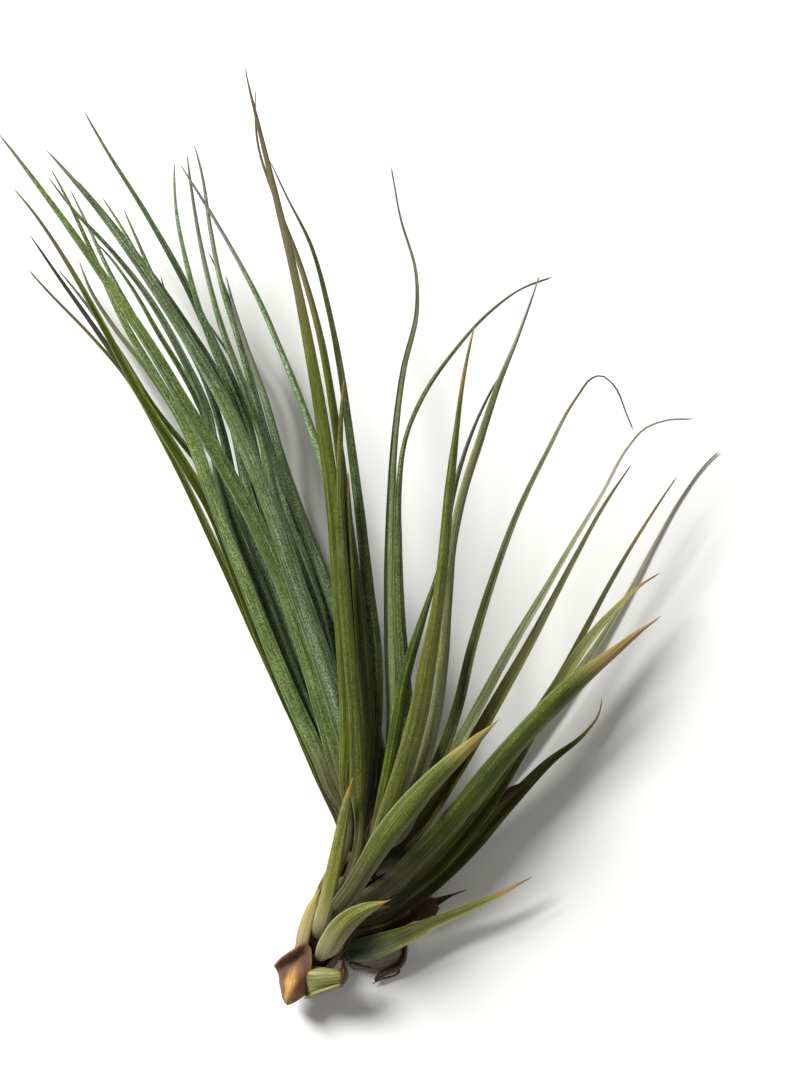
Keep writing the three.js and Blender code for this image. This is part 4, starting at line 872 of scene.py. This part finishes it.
# Papery grey skin, thin and dull.
dry_skin = leaf_finish("grey papery skin", lit="a39b8c", deep="6b6355", warm="b0a58f", frost="b9b3a6",
                       frosting=0.4, tip="7d6a55", tip_end="4a382a")
skin_piece("dry_membrane_skin", [
    [(350, 962, 2.6), (352, 966, 2.0), (355, 970, 1.2)],
    [(366, 958, 3.2), (368, 965, 2.6), (370, 971, 1.4)],
    [(382, 954, 3.6), (384, 962, 3.0), (385, 971, 1.6)],
    [(395, 949, 3.8), (398, 957, 3.2), (394, 967, 1.8)],
    [(402, 944, 3.6), (405, 951, 3.0), (403, 960, 2.0)],
], dry_skin, ["dry_membrane"], 105, thick=0.4, rib=0.02, wave=0.6)
skin_piece("dry_curled_edge", [
    [(401, 938, 3.2), (404, 938, 3.8), (406.5, 939, 3.0)],
    [(404, 946, 3.4), (407, 947, 4.0), (409.0, 949, 3.0)],
    [(402.5, 956, 3.2), (405.5, 958, 3.8), (407.5, 961, 2.6)],
    [(396, 964, 2.8), (398, 967, 3.4), (400, 970, 2.2)],
    [(386.5, 969, 2.4), (388, 972, 3.0), (389.5, 975, 1.8)],
    [(378, 975, 1.8), (379.5, 977.5, 2.4), (380.5, 980, 1.4)],
    [(375.5, 980, 1.3), (376.2, 981, 1.7), (377.0, 981.6, 1.2)],
], dry_leaf_skin, ["dry_sheath"], 106, thick=0.5, rib=0.02, wave=0.5)


# Dead leaf bases wrap the stem like shingles in a spiral: brown papery sheaths that point up the
# stem and flare a little. One old sheath lies under the leaves on the right.
SHEATHS = 40
GOLDEN_ANGLE = math.radians(137.5)
SHEATH_LENGTH = 13.0
SHEATH_WIDTH = 8.0
SHEATH_HALF_ANGLE = math.radians(82)
SHEATH_FLARE = 0.16
UPPER_SIDE = 0.45
STEM_SLICE = 3.0
SHEATH_ROWS = 16
SHEATH_COLUMNS = 11
LAST_SHEATH = 15.0
# The left outline of the neck as it is seen from above, in mm: how far down, and where it lies.
NECK_OUTLINE = np.array([(60, -8.0), (70, -6.2), (76, -6.0), (82, -7.4), (88, -10.4), (93, -12.6),
                         (98, -14.4), (104, -16.2), (110, -18.0), (118, -20.0)])

# Dead leaf base: brown paper with darker fibres, dull, with hardly any scales left.
papery_sheath = leaf_finish("dead papery leaf sheath", lit="6e5537", deep="2a1d12", warm="7d6440",
                            frost="9a8765", frosting=0.35, tip="8b7450", tip_end="a08a62", sheath="5a4329",
                            shade="21170d")
stem_spots = np.array([v.co[:] for v in stem.data.vertices])
slices = np.arange(stem_spots[:, 1].min() + STEM_SLICE * MM / 2, stem_spots[:, 1].max(), STEM_SLICE * MM / 2)
low, high = [], []
for y in slices:
    near = stem_spots[np.abs(stem_spots[:, 1] - y) < STEM_SLICE * MM]
    low.append(near.min(0))
    high.append(near.max(0))
low, high = np.array(low), np.array(high)
for number in range(SHEATHS):
    start = slices[0] + (slices[-1] - slices[0] - LAST_SHEATH * MM) * number / (SHEATHS - 1)
    turn = number * GOLDEN_ANGLE
    reach, lean = SHEATH_LENGTH * dice.uniform(0.8, 1.2), dice.uniform(-0.25, 0.25)
    if math.sin(turn) > UPPER_SIDE:
        continue
    v = np.linspace(0, 1, SHEATH_ROWS)[:, None]
    u = np.sin(np.linspace(-1, 1, SHEATH_COLUMNS) * math.pi / 2)[None, :]
    angle = turn + lean * v + u * SHEATH_HALF_ANGLE * (1 - v ** 2.2)
    y = start + v * reach * MM * (1 - 0.12 * u ** 2) + 0 * u
    flare = 1.02 + SHEATH_FLARE * v ** 1.6
    middle_x, middle_z = (np.interp(y, slices, (low[:, k] + high[:, k]) / 2) for k in (0, 2))
    half_x, half_z = (np.interp(y, slices, (high[:, k] - low[:, k]) / 2) for k in (0, 2))
    x = middle_x + half_x * flare * np.cos(angle)
    x = np.maximum(x, np.interp(-y / MM, *NECK_OUTLINE.T) * MM)
    z = np.maximum(middle_z + half_z * flare * np.sin(angle), LOWEST * MM)
    surface = np.stack([x, y, z], -1)
    outward = np.zeros((SHEATH_ROWS, 3))
    outward[:, 0], outward[:, 2] = math.cos(turn), math.sin(turn)
    grid = {"surface": surface, "across": u[0], "at": v[:, 0] * reach, "length": reach,
            "width": np.full(SHEATH_ROWS, SHEATH_WIDTH), "outward": outward, "pointed": False}
    values = blade_values(grid, 200 + number, dice.uniform(-1, 1), tip_from=0.7, sheath_to=5.0)
    blade_piece(f"old_sheath_{number:02d}", grid, values, papery_sheath, [], number,
                thick=0.3, rib=0.03, wave=0.5, wave_length=SKIN_WAVE)

for name, seed, net in [
        ("old_sheath_right", 240, [
            [(338, 948, 5), (348, 956, 4), (358, 962, 3)],
            [(352, 920, 6), (364, 930, 5), (376, 940, 4)],
            [(366, 893, 7), (378, 903, 6), (392, 912, 4.5)],
            [(382, 862, 8), (393, 872, 7), (404, 884, 6)],
            [(398, 835, 9), (403, 842, 8.5), (408, 850, 8)]]),
        ("fibrous_remains", 241, [
            [(410, 903, 4.0), (413, 911, 4.4), (417, 921, 3.6)],
            [(422, 899, 5.0), (424, 908, 5.4), (427, 919, 4.4)],
            [(432, 897, 5.0), (434, 905, 5.4), (437, 915, 4.6)],
            [(438, 898, 4.4), (439, 902, 4.7), (441, 908, 4.2)]])]:
    skin_piece(name, net, dry_leaf_skin, [], seed, thick=0.35, rib=0.04, wave=1.6, tone=-0.5)

# Torn fibres stand out of the dead sheaths: thin, curved, brown hairs, dull and uneven in tone.
FIBRE_SHADE = "1e140c"
FIBRE_BROWN = "7d5f3c"
FIBRE_SPOTS = 2.0
FIBRE_LENGTH = 3.2
FIBRE_RADIUS = 0.045
FIBRE_BOW = 0.28
FIBRE_LEAN = (1.1, 1.2, 0.9)
fibre_skin, tree, shader = new_finish("torn brown fibre", 0.8)
here = add_node(tree, "ShaderNodeTexCoord")["Object"]
shades = add_node(tree, "ShaderNodeTexNoise",
                  {"Vector": here, "Scale": 1 / (FIBRE_SPOTS * MM), "Detail": 2.0})[0]
fibre_tone = add_node(tree, "ShaderNodeMix", {0: shades, 6: linear(FIBRE_SHADE), 7: linear(FIBRE_BROWN)},
                      data_type="RGBA")[2]
tree.links.new(fibre_tone, shader.inputs["Base Color"])

# Plants bowed hairs all over a skin, and keeps them off the surface that the plant lies on.
fibre_tree, given, result = new_tree("torn fibres", {
    "Count per Area": "NodeSocketFloat", "Length": "NodeSocketFloat", "Radius": "NodeSocketFloat",
    "Seed": "NodeSocketInt", "Material": "NodeSocketMaterial"})
points = add_node(fibre_tree, "GeometryNodeDistributePointsOnFaces", {
    "Mesh": given["Geometry"], "Density": given["Count per Area"], "Seed": given["Seed"]})[0]
strand_end = add_node(fibre_tree, "ShaderNodeCombineXYZ", {"Y": given["Length"]})[0]
strand_bow = add_node(fibre_tree, "ShaderNodeVectorMath", {0: strand_end, 1: (0.0, 0.5, 0.0)},
                      operation="MULTIPLY")[0]
bow_out = add_node(fibre_tree, "ShaderNodeMath", {0: given["Length"], 1: FIBRE_BOW}, operation="MULTIPLY")[0]
bow_at = add_node(fibre_tree, "ShaderNodeCombineXYZ", {"X": bow_out})[0]
bowed = add_node(fibre_tree, "ShaderNodeVectorMath", {0: strand_bow, 1: bow_at}, operation="ADD")[0]
strand = add_node(fibre_tree, "GeometryNodeCurveQuadraticBezier", {
    "Resolution": 6, "Start": (0.0, 0.0, 0.0), "Middle": bowed, "End": strand_end})[0]
round_hair = add_node(fibre_tree, "GeometryNodeCurvePrimitiveCircle", {
    "Resolution": 4, "Radius": given["Radius"]})[0]
hair = add_node(fibre_tree, "GeometryNodeCurveToMesh", {
    "Curve": strand, "Profile Curve": round_hair, "Fill Caps": True})[0]
spin = add_node(fibre_tree, "FunctionNodeRandomValue", {
    "Min": tuple(-lean for lean in FIBRE_LEAN), "Max": FIBRE_LEAN, "Seed": given["Seed"]},
    data_type="FLOAT_VECTOR")[0]
grow = add_node(fibre_tree, "FunctionNodeRandomValue", {2: 0.35, 3: 1.0, "Seed": given["Seed"]},
                data_type="FLOAT")[1]
placed = add_node(fibre_tree, "GeometryNodeInstanceOnPoints", {
    "Points": points, "Instance": hair, "Rotation": spin, "Scale": grow})[0]
real = add_node(fibre_tree, "GeometryNodeRealizeInstances", {0: placed})[0]
where = add_node(fibre_tree, "GeometryNodeInputPosition")[0]
parts = add_node(fibre_tree, "ShaderNodeSeparateXYZ", {0: where})
floor_up = add_node(fibre_tree, "ShaderNodeMath", {0: parts["Z"], 1: LOWEST * MM}, operation="MAXIMUM")[0]
above = add_node(fibre_tree, "ShaderNodeCombineXYZ", {"X": parts["X"], "Y": parts["Y"], "Z": floor_up})[0]
lifted = add_node(fibre_tree, "GeometryNodeSetPosition", {"Geometry": real, "Position": above})[0]
dressed = add_node(fibre_tree, "GeometryNodeSetMaterial", {0: lifted, "Material": given["Material"]})[0]
fibre_tree.links.new(dressed, result[0])

for number, (host, count) in enumerate([("fibrous_remains", 0.9), ("dry_curled_edge", 0.5),
                                        ("torn_cut_edge", 0.9), ("old_sheath_right", 0.12),
                                        ("dry_leaf_right_blade", 0.05)]):
    fibres = bpy.data.objects.new("fibres_" + host, bpy.data.objects[host].data.copy())
    bpy.context.scene.collection.objects.link(fibres)
    set_inputs(fibres, fibre_tree, {
        "Count per Area": count / MM ** 2, "Length": FIBRE_LENGTH * MM, "Radius": FIBRE_RADIUS * MM,
        "Seed": number + 3, "Material": fibre_skin})
    finish_piece(fibres, [])


# The wiry root is the stub of a dark hold-fast root, thin and hard. It comes out beside the grey
# skin on the right of the foot, turns back at the dark edge and ends on the surface.
ROOT_SIDES = 10
ROOT_STEPS = 60
ROOT_PATH = [(352, 962, 3.4), (366, 966, 2.4), (384, 968, 1.6), (397, 968.5, 1.2), (401, 971, 1.3),
             (396, 975.5, 1.4), (387, 978, 1.2), (379, 981, 1.1), (374, 984, 1.4)]
ROOT_RADIUS = 0.42
ROOT_TAPER = 0.7
ROOT_KNOTS = 0.12
KNOT_RHYTHMS = ((37, 0), (91, 1))
ROOT_GRAIN = 0.6
ROOT_SHADE = "1c130e"
ROOT_BROWN = "5a4232"

# Dry root bark: dark brown, nearly matt and finely pitted.
root_skin, tree, shader = new_finish("dark wiry root", 0.7)
here = add_node(tree, "ShaderNodeTexCoord")["Object"]
grain = add_node(tree, "ShaderNodeTexNoise",
                 {"Vector": here, "Scale": 1 / (ROOT_GRAIN * MM), "Detail": 4.0})[0]
skin = add_node(tree, "ShaderNodeMix", {0: grain, 6: linear(ROOT_SHADE), 7: linear(ROOT_BROWN)},
                data_type="RGBA")[2]
tree.links.new(skin, shader.inputs["Base Color"])
relief = add_node(tree, "ShaderNodeBump", {"Strength": 0.8, "Distance": 0.1 * MM, "Height": grain})[0]
tree.links.new(relief, shader.inputs["Normal"])

path = np.array([spot(*place) for place in ROOT_PATH])
line = smooth_curve(path, np.arange(float(len(path))), np.linspace(0, len(path) - 1, ROOT_STEPS))
heading = np.gradient(line, axis=0)
heading /= np.linalg.norm(heading, axis=1, keepdims=True)
sideways = np.cross(heading, (0.0, 0.0, 1.0))
sideways /= np.linalg.norm(sideways, axis=1, keepdims=True)
upwards = np.cross(sideways, heading)
wire_shape = bmesh.new()
rings = []
for k in range(ROOT_STEPS):
    share = k / (ROOT_STEPS - 1)
    knots = 1 + sum(ROOT_KNOTS * math.sin(rhythm * share + start) for rhythm, start in KNOT_RHYTHMS)
    radius = ROOT_RADIUS * MM * (1 - ROOT_TAPER * share) * knots
    turns = [2 * math.pi * j / ROOT_SIDES for j in range(ROOT_SIDES)]
    rings.append([wire_shape.verts.new(
        line[k] + radius * (math.cos(t) * sideways[k] + math.sin(t) * upwards[k])) for t in turns])
for before, after in zip(rings, rings[1:]):
    for j in range(ROOT_SIDES):
        wire_shape.faces.new([before[j], before[j - 1], after[j - 1], after[j]])
wire_shape.faces.new(rings[0])
wire_shape.faces.new(rings[-1][::-1])
bmesh.ops.recalc_face_normals(wire_shape, faces=wire_shape.faces)
for face in wire_shape.faces:
    face.smooth = True
wire_mesh = bpy.data.meshes.new("wiry_root_wire")
wire_shape.to_mesh(wire_mesh)
wire_shape.free()
wire_mesh.materials.append(root_skin)
wire = bpy.data.objects.new("wiry_root_wire", wire_mesh)
bpy.context.scene.collection.objects.link(wire)
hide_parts("wiry_root")
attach(wire, "root")


# The plant lies on a plain pale sheet under one big soft lamp from the upper left and a weak
# fill from the right. The camera looks straight down from far away, with +Y up in the frame.
PHOTO_WIDTH = 0.2
PHOTO_HEIGHT = PHOTO_WIDTH * 1067 / 800
LOOK_AT = Vector((0.0099, 0.0004, 0.022))
CAMERA_DISTANCE = 6.0
CAMERA_REACH = 20.0
SENSOR_HEIGHT = 24.0
FLOOR_HALF = 3.0
FLOOR_DROP = 0.05
FLOOR_TONE = "eeeeeb"
SKY_TONE = "f7f4ef"
SKY_STRENGTH = 0.17

camera_data = bpy.data.cameras.new("camera")
camera_data.sensor_fit = "VERTICAL"
camera_data.sensor_height = SENSOR_HEIGHT
camera_data.lens = SENSOR_HEIGHT * CAMERA_DISTANCE / PHOTO_HEIGHT
camera_data.clip_end = CAMERA_REACH
camera = bpy.data.objects.new("camera", camera_data)
camera.location = LOOK_AT + Vector((0, 0, CAMERA_DISTANCE))
bpy.context.scene.collection.objects.link(camera)
bpy.context.scene.camera = camera

# Matt white paper has no shine, so it shows only the soft shadow under the plant.
paper = new_finish("matt white paper", 0.9, Base_Color=linear(FLOOR_TONE))[0]
floor_mesh = bpy.data.meshes.new("floor")
corners = [(x * FLOOR_HALF, y * FLOOR_HALF, 0) for x, y in ((-1, -1), (1, -1), (1, 1), (-1, 1))]
floor_mesh.from_pydata(corners, [], [(0, 1, 2, 3)])
floor_mesh.materials.append(paper)
floor = bpy.data.objects.new("floor", floor_mesh)
floor.location = (0, 0, -FLOOR_DROP * MM)
bpy.context.scene.collection.objects.link(floor)

for name, place, size, power in [("key lamp", (-0.85, 0.6, 1.0), 0.55, 37.0),
                                 ("fill lamp", (0.9, -0.5, 0.9), 1.2, 3.0)]:
    lamp_data = bpy.data.lights.new(name, "AREA")
    lamp_data.shape = "DISK"
    lamp_data.size = size
    lamp_data.energy = power
    lamp = bpy.data.objects.new(name, lamp_data)
    lamp.location = place
    lamp.rotation_euler = (LOOK_AT - Vector(place)).to_track_quat("-Z", "Y").to_euler()
    bpy.context.scene.collection.objects.link(lamp)

world = bpy.data.worlds.new("studio")
world.use_nodes = True
background = world.node_tree.nodes["Background"].inputs
background["Color"].default_value = linear(SKY_TONE)
background["Strength"].default_value = SKY_STRENGTH
bpy.context.scene.world = world
bpy.context.scene.view_settings.view_transform = "Standard"
